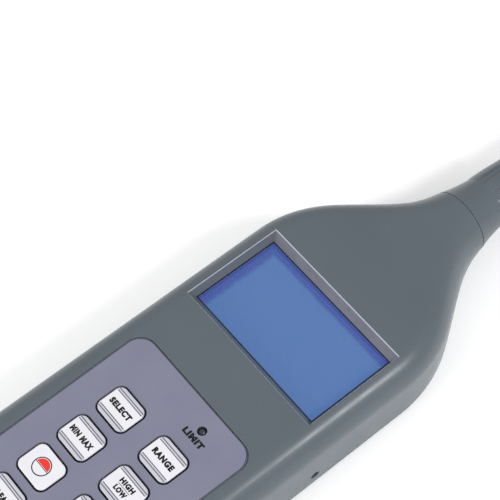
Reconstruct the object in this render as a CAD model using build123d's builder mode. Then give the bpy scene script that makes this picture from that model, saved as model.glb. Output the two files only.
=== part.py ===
from build123d import *
import os
from math import cos, radians, sin, sqrt, tan

os.makedirs("parts", exist_ok=True)

# A hand-held sound level meter lying on its back.
# X runs across it, Y from the battery end to the microphone, Z up out of the back.
# Lengths are millimetres, and angles are degrees.

# ---------------------------------------------------------------- case, outside
body_width = 63.0
body_length = 190.2          # battery end to the joint of the nose collar
collar_length = 26.3
mic_reach = 19.5             # microphone standing out of the collar
wall = 2.0
front_edge_radius = 7.5
rear_edge_radius = 4.0
end_corner_radius = 10.0
neck_radius = 10.0
shoulder_angle = 35.0
shoulder_radius = 38.0
throat_angle = 9.0
throat_radius = 34.0
face_fall_length = 45.0      # stretch over which the face falls to the round neck
back_fall_length = 26.0      # stretch over which the back rises to it
cover_height = 3.5           # parting plane above the back
cover_from_joint = 23.0      # from the end of the rear cover to the collar joint
seam_gap = 0.2
clearance = 0.1              # between pieces that only sit side by side
overcut = 1.0                # how far a cutting form runs past the surface it cuts

# ---------------------------------------------------------------- batteries
cell_count = 4
cell_diameter = 10.5
cell_length = 44.5
cell_gap = 0.6
cell_clearance = 0.4
spring_length = 4.0
plate_thickness = 0.4
bay_wall = 1.4
bay_roof = 1.2
roof_clearance = 0.3
rail_width = 3.7
tongue_width = 1.6
tongue_thickness = 1.2
bay_end_gap = 0.8            # between the case's end wall and the bay
door_margin = 0.3            # door opening wider than the bay by this on each side
door_gap = 0.15
tongue_from_end = 8.0
slot_clearance = 0.4         # over the door's tongues
grip_from_end = 16.0
grip_ridges = 5
grip_pitch = 2.4
grip_length = 16.0
grip_width = 1.2
grip_depth = 0.7
spring_radius = 2.6
spring_wire = 0.5
spring_turns = 3

# ---------------------------------------------------------------- board and display, stacked to the face
board_gap = 0.8
board_thickness = 1.6
board_from_end = 30.0
board_side_gap = 1.3         # to the case wall, where the shoulder has begun to narrow it
board_past_display = 6.0
board_boss_from_end = (34.0, 103.5)
board_boss_offset = 24.0
seat_gap = 0.1
backlight_thickness = 1.9
glass_thickness = 1.8
ledge_thickness = 1.0
window_thickness = 1.2
recess_depth = 3.0
recess_from_end = 111.8
recess_length = 31.35
recess_width = 51.2
recess_run_side = 1.25       # how far the sloping recess walls come in at the sides
recess_run_end = 1.9         # and at the two ends
ledge_width = 0.8
window_gap = 0.15

# ---------------------------------------------------------------- keypad
key_width = 10.9
key_height = 9.15
key_corner = 2.0
key_gap = 0.45
key_stand = 0.3              # key tops above the face
key_travel = 0.6
key_flange = 0.75
key_flange_thickness = 1.2
key_columns = 2
key_column_pitch = 18.2
key_rows = 4
key_row_pitch = 12.6
first_key_row = 39.2         # from the battery end
stem_radius = 2.2
groove_width = 0.26
groove_depth = 0.15
overlay_from_end = 25.0
overlay_length = 70.5
overlay_width = 47.8
overlay_taper = 1.4          # narrower by this at the battery end
overlay_corner = 5.3
overlay_thickness = 0.4
overlay_recess = 0.5
overlay_gap = 0.25
mat_thickness = 1.0
mat_collar_radius = 4.2

# ---------------------------------------------------------------- small parts
led_from_end = 89.6
led_offset = 9.1
led_radius = 1.25
led_gap = 0.15
led_length = 5.0
led_below_face = 0.4
trim_from_end = 109.2
trim_height = 7.8
trim_hole_radius = 1.4
trim_screw_radius = 1.1
trim_body_width = 9.0
trim_body_length = 5.0
trim_body_drop = 2.6         # trimmer body below its screw axis
jack_from_end = 112.0
jack_height = 11.9
jack_bore_radius = 1.8
jack_nose_radius = 3.0
jack_depth = 12.0
jack_body_width = 7.0
jack_body_drop = 3.2         # socket body below its bore axis
tripod_from_end = 84.0
tripod_radius = 3.175
tripod_depth = 8.0
tripod_insert_radius = 5.0
case_boss_radius = 3.0
case_screw_radius = 1.2
case_screw_length = 13.0
case_head_radius = 2.3
case_head_height = 1.3
board_boss_radius = 2.4
board_screw_radius = 0.9
board_screw_length = 5.0
board_head_radius = 1.8
mic_radius = 6.35
mic_tube_wall = 0.55
mic_tail = 4.0               # microphone tube behind the collar joint
mic_tail_step = 0.25         # the tube is thinner by this inside the collar, and so is the grid
grid_length = 6.0
spigot_wall = 1.0
spigot_length = 5.8
rib_count = 8
rib_angle = 24.0
rib_start = 9.4              # from the collar joint
collar_mid_reach = 18.0      # where the collar's taper is nearly straight
capsule_length = 6.7

# ---------------------------------------------------------------- worked-out places
overall_length = body_length + collar_length + mic_reach
mic_tail_radius = mic_radius - mic_tail_step
bottom_y = -overall_length / 2
joint_y = bottom_y + body_length
collar_end_y = joint_y + collar_length
tip_y = collar_end_y + mic_reach

cell_bottom_z = wall + cell_clearance
cell_axis_z = cell_bottom_z + cell_diameter / 2
roof_bottom_z = cell_bottom_z + cell_diameter + roof_clearance
roof_top_z = roof_bottom_z + bay_roof
board_bottom_z = roof_top_z + board_gap
board_top_z = board_bottom_z + board_thickness
backlight_bottom_z = board_top_z + seat_gap
glass_bottom_z = backlight_bottom_z + backlight_thickness + seat_gap
glass_top_z = glass_bottom_z + glass_thickness
ledge_bottom_z = glass_top_z + seat_gap
window_bottom_z = ledge_bottom_z + ledge_thickness
window_top_z = window_bottom_z + window_thickness
case_depth = window_top_z + recess_depth
axis_z = case_depth / 2
inner_face_z = case_depth - wall

front_seam_z = cover_height + seam_gap / 2
rear_seam_z = cover_height - seam_gap / 2
cover_end_y = joint_y - cover_from_joint


def along(distance):
    """Y of a place given by its distance from the battery end."""
    return bottom_y + distance


# The plan of the shoulder is an arc, a straight slope and a hollow arc that meets the collar.
slope_sin = sin(radians(shoulder_angle))
slope_cos = cos(radians(shoulder_angle))
throat_sin = sin(radians(throat_angle))
throat_cos = cos(radians(throat_angle))
shoulder_drop = body_width / 2 - neck_radius
arc_drop = shoulder_radius * (1 - slope_cos) + throat_radius * (throat_cos - slope_cos)
slope_length = (shoulder_drop - arc_drop) / slope_sin
arc_reach = shoulder_radius * slope_sin
slope_reach = arc_reach + slope_length * slope_cos
shoulder_length = slope_reach + throat_radius * (slope_sin - throat_sin)
shoulder_start_y = joint_y - shoulder_length


def half_width(y):
    """Half the width of the case at y."""
    reach = y - shoulder_start_y
    if reach <= 0:
        return body_width / 2
    if reach <= arc_reach:
        return body_width / 2 - shoulder_radius + sqrt(shoulder_radius**2 - reach**2)
    if reach <= slope_reach:
        arc_end = body_width / 2 - shoulder_radius * (1 - slope_cos)
        return arc_end - (reach - arc_reach) * tan(radians(shoulder_angle))
    throat_centre_y = joint_y + throat_radius * throat_sin
    throat_depth = sqrt(throat_radius**2 - (throat_centre_y - y) ** 2)
    return neck_radius + throat_radius * throat_cos - throat_depth


def fall(y, length):
    """How far the face or the back has come in at y, when it does so over a length."""
    share = min(max((y - joint_y + length) / length, 0), 1)
    return (case_depth / 2 - neck_radius) * share**2 * (3 - 2 * share)


def edge_radius(start_radius, y, inset):
    """Edge rounding at y, growing until the neck is round."""
    share = max(y - shoulder_start_y, 0) / shoulder_length
    round_neck = neck_radius - 0.02
    radius = start_radius + (round_neck - start_radius) * min(share, 1) - inset
    return max(radius, 0.3)


def case_form(inset, top_y):
    """The closed form of the case up to top_y, brought in evenly by inset."""
    end_y = bottom_y + inset
    stations = [0.0, 0.04, 0.12, 0.22, 0.34, 0.46, 0.58, 0.70, 0.80, 0.90, 1.0]
    with BuildPart() as form:
        with BuildSketch(Plane.XY.offset(inset)) as outline:
            with Locations((0, (end_y + shoulder_start_y) / 2)):
                Rectangle(body_width - 2 * inset, shoulder_start_y - end_y)
            fillet(outline.vertices().group_by(Axis.Y)[0], end_corner_radius - inset)
        extrude(amount=case_depth - 2 * inset)
        front_edges = form.faces().sort_by(Axis.Z)[-1].edges().sort_by(Axis.Y)[:-1]
        fillet(front_edges, front_edge_radius - inset)
        rear_edges = form.faces().sort_by(Axis.Z)[0].edges().sort_by(Axis.Y)[:-1]
        fillet(rear_edges, max(rear_edge_radius - inset, 0.3))
        for share in stations:
            y = shoulder_start_y + share * (top_y - shoulder_start_y)
            low_z = inset + fall(y, back_fall_length)
            high_z = case_depth - inset - fall(y, face_fall_length)
            with BuildSketch(Plane.XZ.offset(-y)) as section:
                with Locations((0, (low_z + high_z) / 2)):
                    Rectangle(2 * (half_width(y) - inset), high_z - low_z)
                front = edge_radius(front_edge_radius, y, inset)
                fillet(section.vertices().group_by(Axis.Y)[-1], front)
                rear = edge_radius(rear_edge_radius, y, inset)
                fillet(section.vertices().group_by(Axis.Y)[0], rear)
        loft()
    return form.part


def across(y, z):
    """Plane whose sketch x is the meter's X and whose normal points to the microphone."""
    return Plane(origin=(0, y, z), x_dir=(-1, 0, 0), z_dir=(0, 1, 0))


outer_form = case_form(0, joint_y)
inner_form = case_form(wall, joint_y - wall)

# ---------------------------------------------------------------- keypad places
key_names = [
    ["key_store", "key_recall"],
    ["key_power", "key_light"],
    ["key_max", "key_speed"],
    ["key_function", "key_range"],
]
key_places = []
for row in range(key_rows):
    for column in range(key_columns):
        key_x = (column - (key_columns - 1) / 2) * key_column_pitch
        key_y = along(first_key_row + row * key_row_pitch)
        key_places.append((key_names[row][column], key_x, key_y))
key_points = [(x, y) for _, x, y in key_places]

# ---------------------------------------------------------------- display places
recess_y = along(recess_from_end + recess_length / 2)
window_width = recess_width - 2 * recess_run_side
window_length = recess_length - 2 * recess_run_end
ledge_open_width = window_width - 2 * ledge_width
ledge_open_length = window_length - 2 * ledge_width
frame_wall = 1.6
glass_width = window_width - 0.4
glass_length = window_length - 0.4
frame_width = glass_width + 2 * (frame_wall + clearance)
frame_length = glass_length + 2 * (frame_wall + clearance)
frame_leg_x = (frame_width - frame_wall) / 2
frame_leg_width = 4.0
strip_width = 2.0

# ---------------------------------------------------------------- board and boss places
board_end_y = along(board_from_end)
board_top_end_y = recess_y + frame_length / 2 + board_past_display
board_width = 2 * (half_width(board_top_end_y) - wall - board_side_gap)
tongue_board_width = 12.0
tongue_board_end_y = joint_y - mic_tail - 3.0
board_boss_points = [
    (side * board_boss_offset, along(distance))
    for side in (-1, 1)
    for distance in board_boss_from_end
]
bay_start_y = along(wall + bay_end_gap + bay_wall)
bay_length = cell_length + spring_length + 2 * plate_thickness + 2 * clearance
bay_end_y = bay_start_y + bay_length
bay_half = (cell_count * cell_diameter + (cell_count - 1) * cell_gap) / 2 + cell_clearance
bay_outer = bay_half + rail_width
door_half = bay_half + door_margin
door_end_y = bay_end_y - tongue_width - clearance
tongue_top_z = wall + clearance + tongue_thickness
slot_top_z = tongue_top_z + slot_clearance
lower_boss_y = bay_end_y + bay_wall + case_boss_radius + 1.0
upper_boss_y = shoulder_start_y + 13.0
lower_boss_x = body_width / 2 - wall - case_boss_radius - 1.6
upper_boss_x = half_width(upper_boss_y) - wall - case_boss_radius - 3.4
case_boss_points = [
    (-lower_boss_x, lower_boss_y),
    (lower_boss_x, lower_boss_y),
    (-upper_boss_x, upper_boss_y),
    (upper_boss_x, upper_boss_y),
]

# ---------------------------------------------------------------- front case
with BuildPart() as front_case:
    add(outer_form)
    add(inner_form, mode=Mode.SUBTRACT)
    with Locations((0, (bottom_y + cover_end_y + seam_gap) / 2, 0)):
        Box(
            body_width + 2,
            cover_end_y + seam_gap - bottom_y,
            2 * front_seam_z,
            mode=Mode.SUBTRACT,
        )
    # block behind the display opening, then the sloping recess, window seat and opening
    with BuildSketch(Plane.XY.offset(ledge_bottom_z)):
        with Locations((0, recess_y)):
            Rectangle(recess_width + 1.0, recess_length + 1.0)
    extrude(amount=case_depth - wall / 2 - ledge_bottom_z)
    with BuildSketch(Plane.XY.offset(case_depth + overcut)):
        with Locations((0, recess_y)):
            Rectangle(
                recess_width + 2 * recess_run_side * overcut / recess_depth,
                recess_length + 2 * recess_run_end * overcut / recess_depth,
            )
    with BuildSketch(Plane.XY.offset(window_top_z)):
        with Locations((0, recess_y)):
            Rectangle(window_width, window_length)
    loft(mode=Mode.SUBTRACT)
    with BuildSketch(Plane.XY.offset(window_bottom_z)):
        with Locations((0, recess_y)):
            Rectangle(window_width, window_length)
    extrude(amount=window_thickness, mode=Mode.SUBTRACT)
    with BuildSketch(Plane.XY.offset(ledge_bottom_z)):
        with Locations((0, recess_y)):
            Rectangle(ledge_open_width, ledge_open_length)
    extrude(amount=ledge_thickness, mode=Mode.SUBTRACT)
    # shallow seat of the keypad overlay
    with BuildSketch(Plane.XY.offset(case_depth)) as overlay_seat:
        seat_top = overlay_width / 2 + overlay_gap
        seat_bottom = seat_top - overlay_taper / 2
        low_y = along(overlay_from_end) - overlay_gap
        high_y = along(overlay_from_end + overlay_length) + overlay_gap
        with BuildLine():
            Polyline(
                (-seat_bottom, low_y),
                (seat_bottom, low_y),
                (seat_top, high_y),
                (-seat_top, high_y),
                close=True,
            )
        make_face()
        fillet(overlay_seat.vertices(), overlay_corner)
    extrude(amount=-overlay_recess, mode=Mode.SUBTRACT)
    # key openings and the lamp hole
    with BuildSketch(Plane.XY.offset(case_depth)):
        with Locations(*key_points):
            RectangleRounded(key_width + 2 * key_gap, key_height + 2 * key_gap, key_corner + key_gap)
        with Locations((led_offset, along(led_from_end))):
            Circle(led_radius + led_gap)
    extrude(amount=-2 * wall, mode=Mode.SUBTRACT)
    # screw posts for the rear cover
    with BuildSketch(Plane.XY.offset(front_seam_z)):
        with Locations(*case_boss_points):
            Circle(case_boss_radius)
    extrude(amount=case_depth - wall / 2 - front_seam_z)
    with BuildSketch(Plane.XY.offset(front_seam_z)):
        with Locations(*case_boss_points):
            Circle(case_screw_radius + clearance / 2)
    extrude(amount=case_screw_length, mode=Mode.SUBTRACT)
    # posts that the board hangs from
    with BuildSketch(Plane.XY.offset(board_top_z + clearance)):
        with Locations(*board_boss_points):
            Circle(board_boss_radius)
    extrude(amount=case_depth - wall - board_top_z)
    with BuildSketch(Plane.XY.offset(board_top_z + clearance)):
        with Locations(*board_boss_points):
            Circle(board_screw_radius + clearance / 2)
    extrude(amount=board_screw_length, mode=Mode.SUBTRACT)
    # screwdriver hole in the right wall and socket hole in the left wall
    with BuildSketch(Plane.YZ.offset(body_width / 2 + 1)):
        with Locations((along(trim_from_end), trim_height)):
            Circle(trim_hole_radius)
    extrude(amount=-wall - 2, mode=Mode.SUBTRACT)
    with BuildSketch(Plane.YZ.offset(-body_width / 2 - 1)):
        with Locations((along(jack_from_end), jack_height)):
            Circle(jack_nose_radius + clearance)
    extrude(amount=wall + 2, mode=Mode.SUBTRACT)
    # spigot that carries the collar, with the bore of the microphone tube through it
    with BuildSketch(across(joint_y - wall, axis_z)):
        Circle(mic_radius + mic_tail_step + spigot_wall)
    extrude(amount=wall + spigot_length)
    with BuildSketch(across(joint_y - wall - 1, axis_z)):
        Circle(mic_radius + mic_tail_step)
    extrude(amount=wall + spigot_length + 2, mode=Mode.SUBTRACT)
front_case.part.label = "front_case"
export_step(front_case.part, "parts/front_case.step")

# ---------------------------------------------------------------- rear cover
rail_gap = 0.3
lip_gap = 0.15
lip_thickness = 1.2
lip_height = 1.5
lip_x = body_width / 2 - wall - lip_gap - lip_thickness / 2
lip_start_y = along(end_corner_radius + 2.0)
lip_end_y = shoulder_start_y - 4.0
lip_points = [(side * lip_x, (lip_start_y + lip_end_y) / 2) for side in (-1, 1)]
with BuildPart() as rear_cover:
    add(outer_form)
    add(inner_form, mode=Mode.SUBTRACT)
    with Locations((0, (bottom_y - 1 + cover_end_y) / 2, 0)):
        Box(
            body_width + 2,
            cover_end_y - bottom_y + 1,
            2 * rear_seam_z,
            mode=Mode.INTERSECT,
        )
    # lips that locate the cover inside the front case
    with BuildSketch(Plane.XY.offset(wall - 0.5)):
        with Locations(*lip_points):
            Rectangle(lip_thickness, lip_end_y - lip_start_y)
    extrude(amount=cover_height + lip_height - wall + 0.5)
    with BuildSketch(Plane.XY.offset(wall - 0.5)):
        with Locations(*lip_points):
            Rectangle(lip_thickness + 1.0, lip_end_y - lip_start_y)
    extrude(amount=rear_seam_z - wall + 0.5)
    # battery bay: two side walls, an end wall at each end and a roof
    bay_mid_y = (bay_start_y + bay_end_y) / 2
    with BuildSketch(Plane.XY.offset(wall - 0.5)) as bay_outline:
        with Locations((0, bay_mid_y)):
            Rectangle(2 * bay_outer, bay_length + 2 * bay_wall)
        fillet(bay_outline.vertices().group_by(Axis.Y)[0], end_corner_radius - wall)
    extrude(amount=roof_top_z - wall + 0.5)
    with BuildSketch(Plane.XY.offset(wall - 0.5)):
        with Locations((0, bay_mid_y)):
            Rectangle(2 * bay_half, bay_length)
    extrude(amount=roof_bottom_z - wall + 0.5, mode=Mode.SUBTRACT)
    # opening for the door, with slots in the bay walls for its tongues
    with BuildSketch():
        with Locations((0, (bottom_y - 1 + door_end_y) / 2)):
            Rectangle(2 * door_half, door_end_y - bottom_y + 1)
    extrude(amount=slot_top_z, mode=Mode.SUBTRACT)
    with BuildSketch(Plane.XY.offset(wall)):
        with Locations((0, (bottom_y + bay_end_y) / 2)):
            Rectangle(2 * (door_half + tongue_width + rail_gap), bay_end_y - bottom_y)
    extrude(amount=slot_top_z - wall, mode=Mode.SUBTRACT)
    # posts round the screw heads
    with BuildSketch(Plane.XY.offset(wall - 0.5)):
        with Locations(*case_boss_points):
            Circle(case_head_radius + 1.3)
    extrude(amount=rear_seam_z - wall + 0.5)
    with BuildSketch(Plane.XY.offset(-overcut)):
        with Locations(*case_boss_points):
            Circle(case_head_radius + 0.3)
    extrude(amount=wall + overcut, mode=Mode.SUBTRACT)
    with BuildSketch(Plane.XY.offset(-overcut)):
        with Locations(*case_boss_points):
            Circle(case_screw_radius + 0.15)
    extrude(amount=cover_height + overcut, mode=Mode.SUBTRACT)
    # boss of the tripod insert
    with BuildSketch(Plane.XY.offset(wall - 0.5)):
        with Locations((0, along(tripod_from_end))):
            Circle(tripod_insert_radius + 1.6)
    extrude(amount=tripod_depth + 1.2 - wall + 0.5)
    with BuildSketch(Plane.XY.offset(0)):
        with Locations((0, along(tripod_from_end))):
            Circle(tripod_insert_radius + clearance / 2)
    extrude(amount=tripod_depth, mode=Mode.SUBTRACT)
rear_cover.part.label = "rear_cover"
export_step(rear_cover.part, "parts/rear_cover.step")

# ---------------------------------------------------------------- battery door
with BuildPart() as battery_door:
    add(outer_form)
    add(inner_form, mode=Mode.SUBTRACT)
    with Locations((0, (bottom_y - 1 + door_end_y - rail_gap) / 2, 0)):
        Box(
            2 * (door_half - door_gap),
            door_end_y - rail_gap - bottom_y + 1,
            2 * rear_seam_z,
            mode=Mode.INTERSECT,
        )
    # tongues that run under the edges of the opening
    tongue_start_y = along(tongue_from_end)
    tongue_y = (tongue_start_y + door_end_y - rail_gap) / 2
    with BuildSketch(Plane.XY.offset(wall + clearance)):
        with Locations((0, tongue_y)):
            Rectangle(2 * (door_half + tongue_width), door_end_y - rail_gap - tongue_start_y)
        with Locations((0, tongue_y)):
            Rectangle(2 * (door_half - 2.0), door_end_y - tongue_start_y + 2, mode=Mode.SUBTRACT)
    extrude(amount=tongue_thickness)
    with BuildSketch(Plane.XY.offset(wall - 0.5)):
        for side in (-1, 1):
            with Locations((side * (door_half - 1.1), tongue_y)):
                Rectangle(1.8, door_end_y - rail_gap - tongue_start_y)
    extrude(amount=clearance + tongue_thickness + 0.5)
    # arrow-side grip: a row of shallow grooves across the door
    with BuildSketch(Plane.XY.offset(0)):
        with GridLocations(0, grip_pitch, 1, grip_ridges):
            with Locations((0, along(grip_from_end))):
                SlotOverall(grip_length, grip_width)
    extrude(amount=grip_depth, mode=Mode.SUBTRACT)
battery_door.part.label = "battery_door"
export_step(battery_door.part, "parts/battery_door.step")

# ---------------------------------------------------------------- batteries and their contacts
cell_pitch = cell_diameter + cell_gap
cell_xs = [(index - (cell_count - 1) / 2) * cell_pitch for index in range(cell_count)]
cell_nub_radius = 2.0
cell_nub_length = 0.9
plate_side = 2 * (cell_axis_z - tongue_top_z - 2 * clearance)   # clear of the sliding door
for index, cell_x in enumerate(cell_xs):
    # neighbouring cells point opposite ways, with the spring at the flat end
    facing = 1 if index % 2 == 0 else -1
    middle_y = bay_mid_y + facing * spring_length / 2
    flat_y = middle_y - facing * cell_length / 2
    body_length_y = cell_length - cell_nub_length
    with BuildPart() as cell:
        with BuildSketch(across(flat_y, cell_axis_z)):
            with Locations((-cell_x, 0)):
                Circle(cell_diameter / 2)
        extrude(amount=facing * body_length_y)
        with BuildSketch(across(flat_y + facing * body_length_y, cell_axis_z)):
            with Locations((-cell_x, 0)):
                Circle(cell_nub_radius)
        extrude(amount=facing * cell_nub_length)
        fillet(cell.edges().filter_by(GeomType.CIRCLE).group_by(SortBy.RADIUS)[-1], 0.5)
    cell.part.label = f"cell_{index + 1}"
    export_step(cell.part, f"parts/cell_{index + 1}.step")

with BuildPart() as battery_springs:
    for index, cell_x in enumerate(cell_xs):
        facing = 1 if index % 2 == 0 else -1
        wall_y = bay_mid_y - facing * (bay_length / 2 - plate_thickness - spring_wire / 2 - 0.05)
        coil_length = spring_length - spring_wire - clearance
        coil_plane = Plane(origin=(cell_x, wall_y, cell_axis_z), x_dir=(1, 0, 0), z_dir=(0, facing, 0))
        coil_pitch = coil_length / spring_turns
        coil = Helix(coil_pitch, coil_length, spring_radius, mode=Mode.PRIVATE)
        coil_path = coil_plane.from_local_coords(coil)
        with BuildSketch(Plane(origin=coil_path @ 0, z_dir=coil_path % 0)):
            Circle(spring_wire / 2)
        sweep(path=coil_path, is_frenet=True)
battery_springs.part.label = "battery_springs"
export_step(battery_springs.part, "parts/battery_springs.step")

with BuildPart() as battery_plates:
    for end in (-1, 1):
        plate_y = bay_mid_y + end * (bay_length / 2 - plate_thickness / 2)
        with Locations(*[(cell_x, plate_y, cell_axis_z) for cell_x in cell_xs]):
            Box(plate_side, plate_thickness, plate_side)
battery_plates.part.label = "battery_plates"
export_step(battery_plates.part, "parts/battery_plates.step")

# ---------------------------------------------------------------- main board, with a tongue in the neck
with BuildPart() as main_board:
    with BuildSketch(Plane.XY.offset(board_bottom_z)) as board_outline:
        board_middle_y = (board_end_y + board_top_end_y) / 2
        with Locations((0, board_middle_y)):
            Rectangle(board_width, board_top_end_y - board_end_y)
        fillet(board_outline.vertices(), 3.0)
        with Locations((0, (recess_y + tongue_board_end_y) / 2)):
            Rectangle(tongue_board_width, tongue_board_end_y - recess_y)
        with Locations(*case_boss_points):
            Circle(case_boss_radius + 0.5, mode=Mode.SUBTRACT)
        with Locations(*board_boss_points):
            Circle(board_screw_radius + 0.2, mode=Mode.SUBTRACT)
        with Locations((-frame_leg_x, recess_y), (frame_leg_x, recess_y)):
            Rectangle(frame_wall + 0.3, frame_leg_width + 0.3, mode=Mode.SUBTRACT)
    extrude(amount=board_thickness)
main_board.part.label = "main_board"
export_step(main_board.part, "parts/main_board.step")

# processor, three small chips under the display and two in the tongue: x, place from the end, size
chip_places = [
    (0, 130.0, 12.0, 12.0),
    (-15.0, 132.0, 6.2, 5.0),
    (14.0, 135.0, 6.2, 5.0),
    (-13.0, 146.0, 6.2, 5.0),
    (0, 152.0, 5.0, 4.0),
    (0, 162.0, 5.0, 4.0),
]
chip_thickness = 1.6
chip_gap = 0.05
board_head_height = board_gap - 0.2
with BuildPart() as board_chips:
    with BuildSketch(Plane.XY.offset(board_bottom_z - chip_gap)):
        for chip_x, distance, chip_width, chip_length in chip_places:
            with Locations((chip_x, along(distance))):
                Rectangle(chip_width, chip_length)
    extrude(amount=-chip_thickness)
board_chips.part.label = "board_chips"
export_step(board_chips.part, "parts/board_chips.step")

with BuildPart() as board_screws:
    with BuildSketch(Plane.XY.offset(board_bottom_z - chip_gap)):
        with Locations(*board_boss_points):
            Circle(board_head_radius)
    extrude(amount=-board_head_height)
    with BuildSketch(Plane.XY.offset(board_bottom_z - chip_gap)):
        with Locations(*board_boss_points):
            Circle(board_screw_radius)
    extrude(amount=board_thickness + board_screw_length - 0.5)
board_screws.part.label = "board_screws"
export_step(board_screws.part, "parts/board_screws.step")

# ---------------------------------------------------------------- display
with BuildPart() as lcd_window:
    with BuildSketch(Plane.XY.offset(window_bottom_z + seat_gap)):
        with Locations((0, recess_y)):
            RectangleRounded(window_width - 2 * window_gap, window_length - 2 * window_gap, 0.4)
    extrude(amount=window_thickness - seat_gap)
lcd_window.part.label = "lcd_window"
export_step(lcd_window.part, "parts/lcd_window.step")

with BuildPart() as window_tape:
    with BuildSketch(Plane.XY.offset(window_bottom_z)):
        with Locations((0, recess_y)):
            Rectangle(window_width - 0.6, window_length - 0.6)
            Rectangle(ledge_open_width + 0.2, ledge_open_length + 0.2, mode=Mode.SUBTRACT)
    extrude(amount=seat_gap)
window_tape.part.label = "window_tape"
export_step(window_tape.part, "parts/window_tape.step")

with BuildPart() as lcd_glass:
    with BuildSketch(Plane.XY.offset(glass_bottom_z)):
        with Locations((0, recess_y)):
            Rectangle(glass_width, glass_length)
    extrude(amount=glass_thickness)
lcd_glass.part.label = "lcd_glass"
export_step(lcd_glass.part, "parts/lcd_glass.step")

strip_y = glass_length / 2 - strip_width / 2 - 0.1
backlight_length = 2 * (strip_y - strip_width / 2 - 0.4)
with BuildPart() as lcd_backlight:
    with BuildSketch(Plane.XY.offset(backlight_bottom_z)):
        with Locations((0, recess_y)):
            Rectangle(glass_width - 0.4, backlight_length)
    extrude(amount=backlight_thickness)
lcd_backlight.part.label = "lcd_backlight"
export_step(lcd_backlight.part, "parts/lcd_backlight.step")

with BuildPart() as lcd_strips:
    with BuildSketch(Plane.XY.offset(board_top_z)):
        with Locations((0, recess_y - strip_y), (0, recess_y + strip_y)):
            Rectangle(glass_width - 3.0, strip_width)
    extrude(amount=glass_bottom_z - board_top_z)
lcd_strips.part.label = "lcd_strips"
export_step(lcd_strips.part, "parts/lcd_strips.step")

with BuildPart() as lcd_frame:
    with BuildSketch(Plane.XY.offset(board_top_z)):
        with Locations((0, recess_y)):
            Rectangle(frame_width, frame_length)
            Rectangle(frame_width - 2 * frame_wall, frame_length - 2 * frame_wall, mode=Mode.SUBTRACT)
    extrude(amount=glass_top_z - board_top_z)
    with BuildSketch(Plane.XY.offset(board_bottom_z - 1.0)):
        with Locations((-frame_leg_x, recess_y), (frame_leg_x, recess_y)):
            Rectangle(frame_wall, frame_leg_width)
    extrude(amount=board_thickness + 1.0)
lcd_frame.part.label = "lcd_frame"
export_step(lcd_frame.part, "parts/lcd_frame.step")

# ---------------------------------------------------------------- keypad
with BuildPart() as keypad_overlay:
    with BuildSketch(Plane.XY.offset(case_depth - overlay_recess)) as overlay_outline:
        half_top = overlay_width / 2
        half_bottom = half_top - overlay_taper / 2
        with BuildLine():
            Polyline(
                (-half_bottom, along(overlay_from_end)),
                (half_bottom, along(overlay_from_end)),
                (half_top, along(overlay_from_end + overlay_length)),
                (-half_top, along(overlay_from_end + overlay_length)),
                close=True,
            )
        make_face()
        fillet(overlay_outline.vertices(), overlay_corner)
        with Locations(*key_points):
            RectangleRounded(
                key_width + 2 * key_gap,
                key_height + 2 * key_gap,
                key_corner + key_gap,
                mode=Mode.SUBTRACT,
            )
        with Locations((led_offset, along(led_from_end))):
            Circle(led_radius + led_gap, mode=Mode.SUBTRACT)
    extrude(amount=overlay_thickness)
keypad_overlay.part.label = "keypad_overlay"
export_step(keypad_overlay.part, "parts/keypad_overlay.step")

flange_top_z = inner_face_z - clearance
flange_bottom_z = flange_top_z - key_flange_thickness
key_top_z = case_depth + key_stand
contact_gap = key_travel + 0.15
groove_offsets = (key_height / 2 - 1.7, key_height / 2 - 1.0)
for key_name, key_x, key_y in key_places:
    with BuildPart() as key:
        with BuildSketch(Plane.XY.offset(flange_bottom_z)):
            with Locations((key_x, key_y)):
                RectangleRounded(key_width, key_height, key_corner)
        extrude(amount=key_top_z - flange_bottom_z)
        fillet(key.faces().sort_by(Axis.Z)[-1].edges(), 0.25)
        with BuildSketch(Plane.XY.offset(flange_bottom_z)):
            with Locations((key_x, key_y)):
                flange_grow = 2 * (key_gap + key_flange)
                RectangleRounded(key_width + flange_grow, key_height + flange_grow, key_corner)
        extrude(amount=key_flange_thickness)
        with BuildSketch(Plane.XY.offset(board_top_z + contact_gap)):
            with Locations((key_x, key_y)):
                Circle(stem_radius)
        extrude(amount=flange_bottom_z - board_top_z - contact_gap)
        if key_name != "key_power":
            # pairs of fine grooves beside the upper and lower edges of the top
            with BuildSketch(Plane.XY.offset(key_top_z - groove_depth)):
                for side in (-1, 1):
                    for offset_y in groove_offsets:
                        with Locations((key_x, key_y + side * offset_y)):
                            Rectangle(key_width - 0.9, groove_width)
            extrude(amount=groove_depth, mode=Mode.SUBTRACT)
    key.part.label = key_name
    export_step(key.part, f"parts/{key_name}.step")

mat_collar_top_z = flange_bottom_z - key_travel - 0.25
with BuildPart() as key_mat:
    with BuildSketch(Plane.XY.offset(board_top_z)):
        mat_middle_y = along(first_key_row + (key_rows - 1) / 2 * key_row_pitch)
        with Locations((0, mat_middle_y)):
            mat_width = (key_columns - 1) * key_column_pitch + 16.0
            mat_length = (key_rows - 1) * key_row_pitch + 12.0
            RectangleRounded(mat_width, mat_length, 2.0)
    extrude(amount=mat_thickness)
    with BuildSketch(Plane.XY.offset(board_top_z + mat_thickness)):
        with Locations(*key_points):
            Circle(mat_collar_radius)
    extrude(amount=mat_collar_top_z - board_top_z - mat_thickness)
    with BuildSketch(Plane.XY.offset(board_top_z)):
        with Locations(*key_points):
            Circle(stem_radius + 0.35)
    extrude(amount=mat_collar_top_z - board_top_z, mode=Mode.SUBTRACT)
key_mat.part.label = "key_mat"
export_step(key_mat.part, "parts/key_mat.step")

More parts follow.
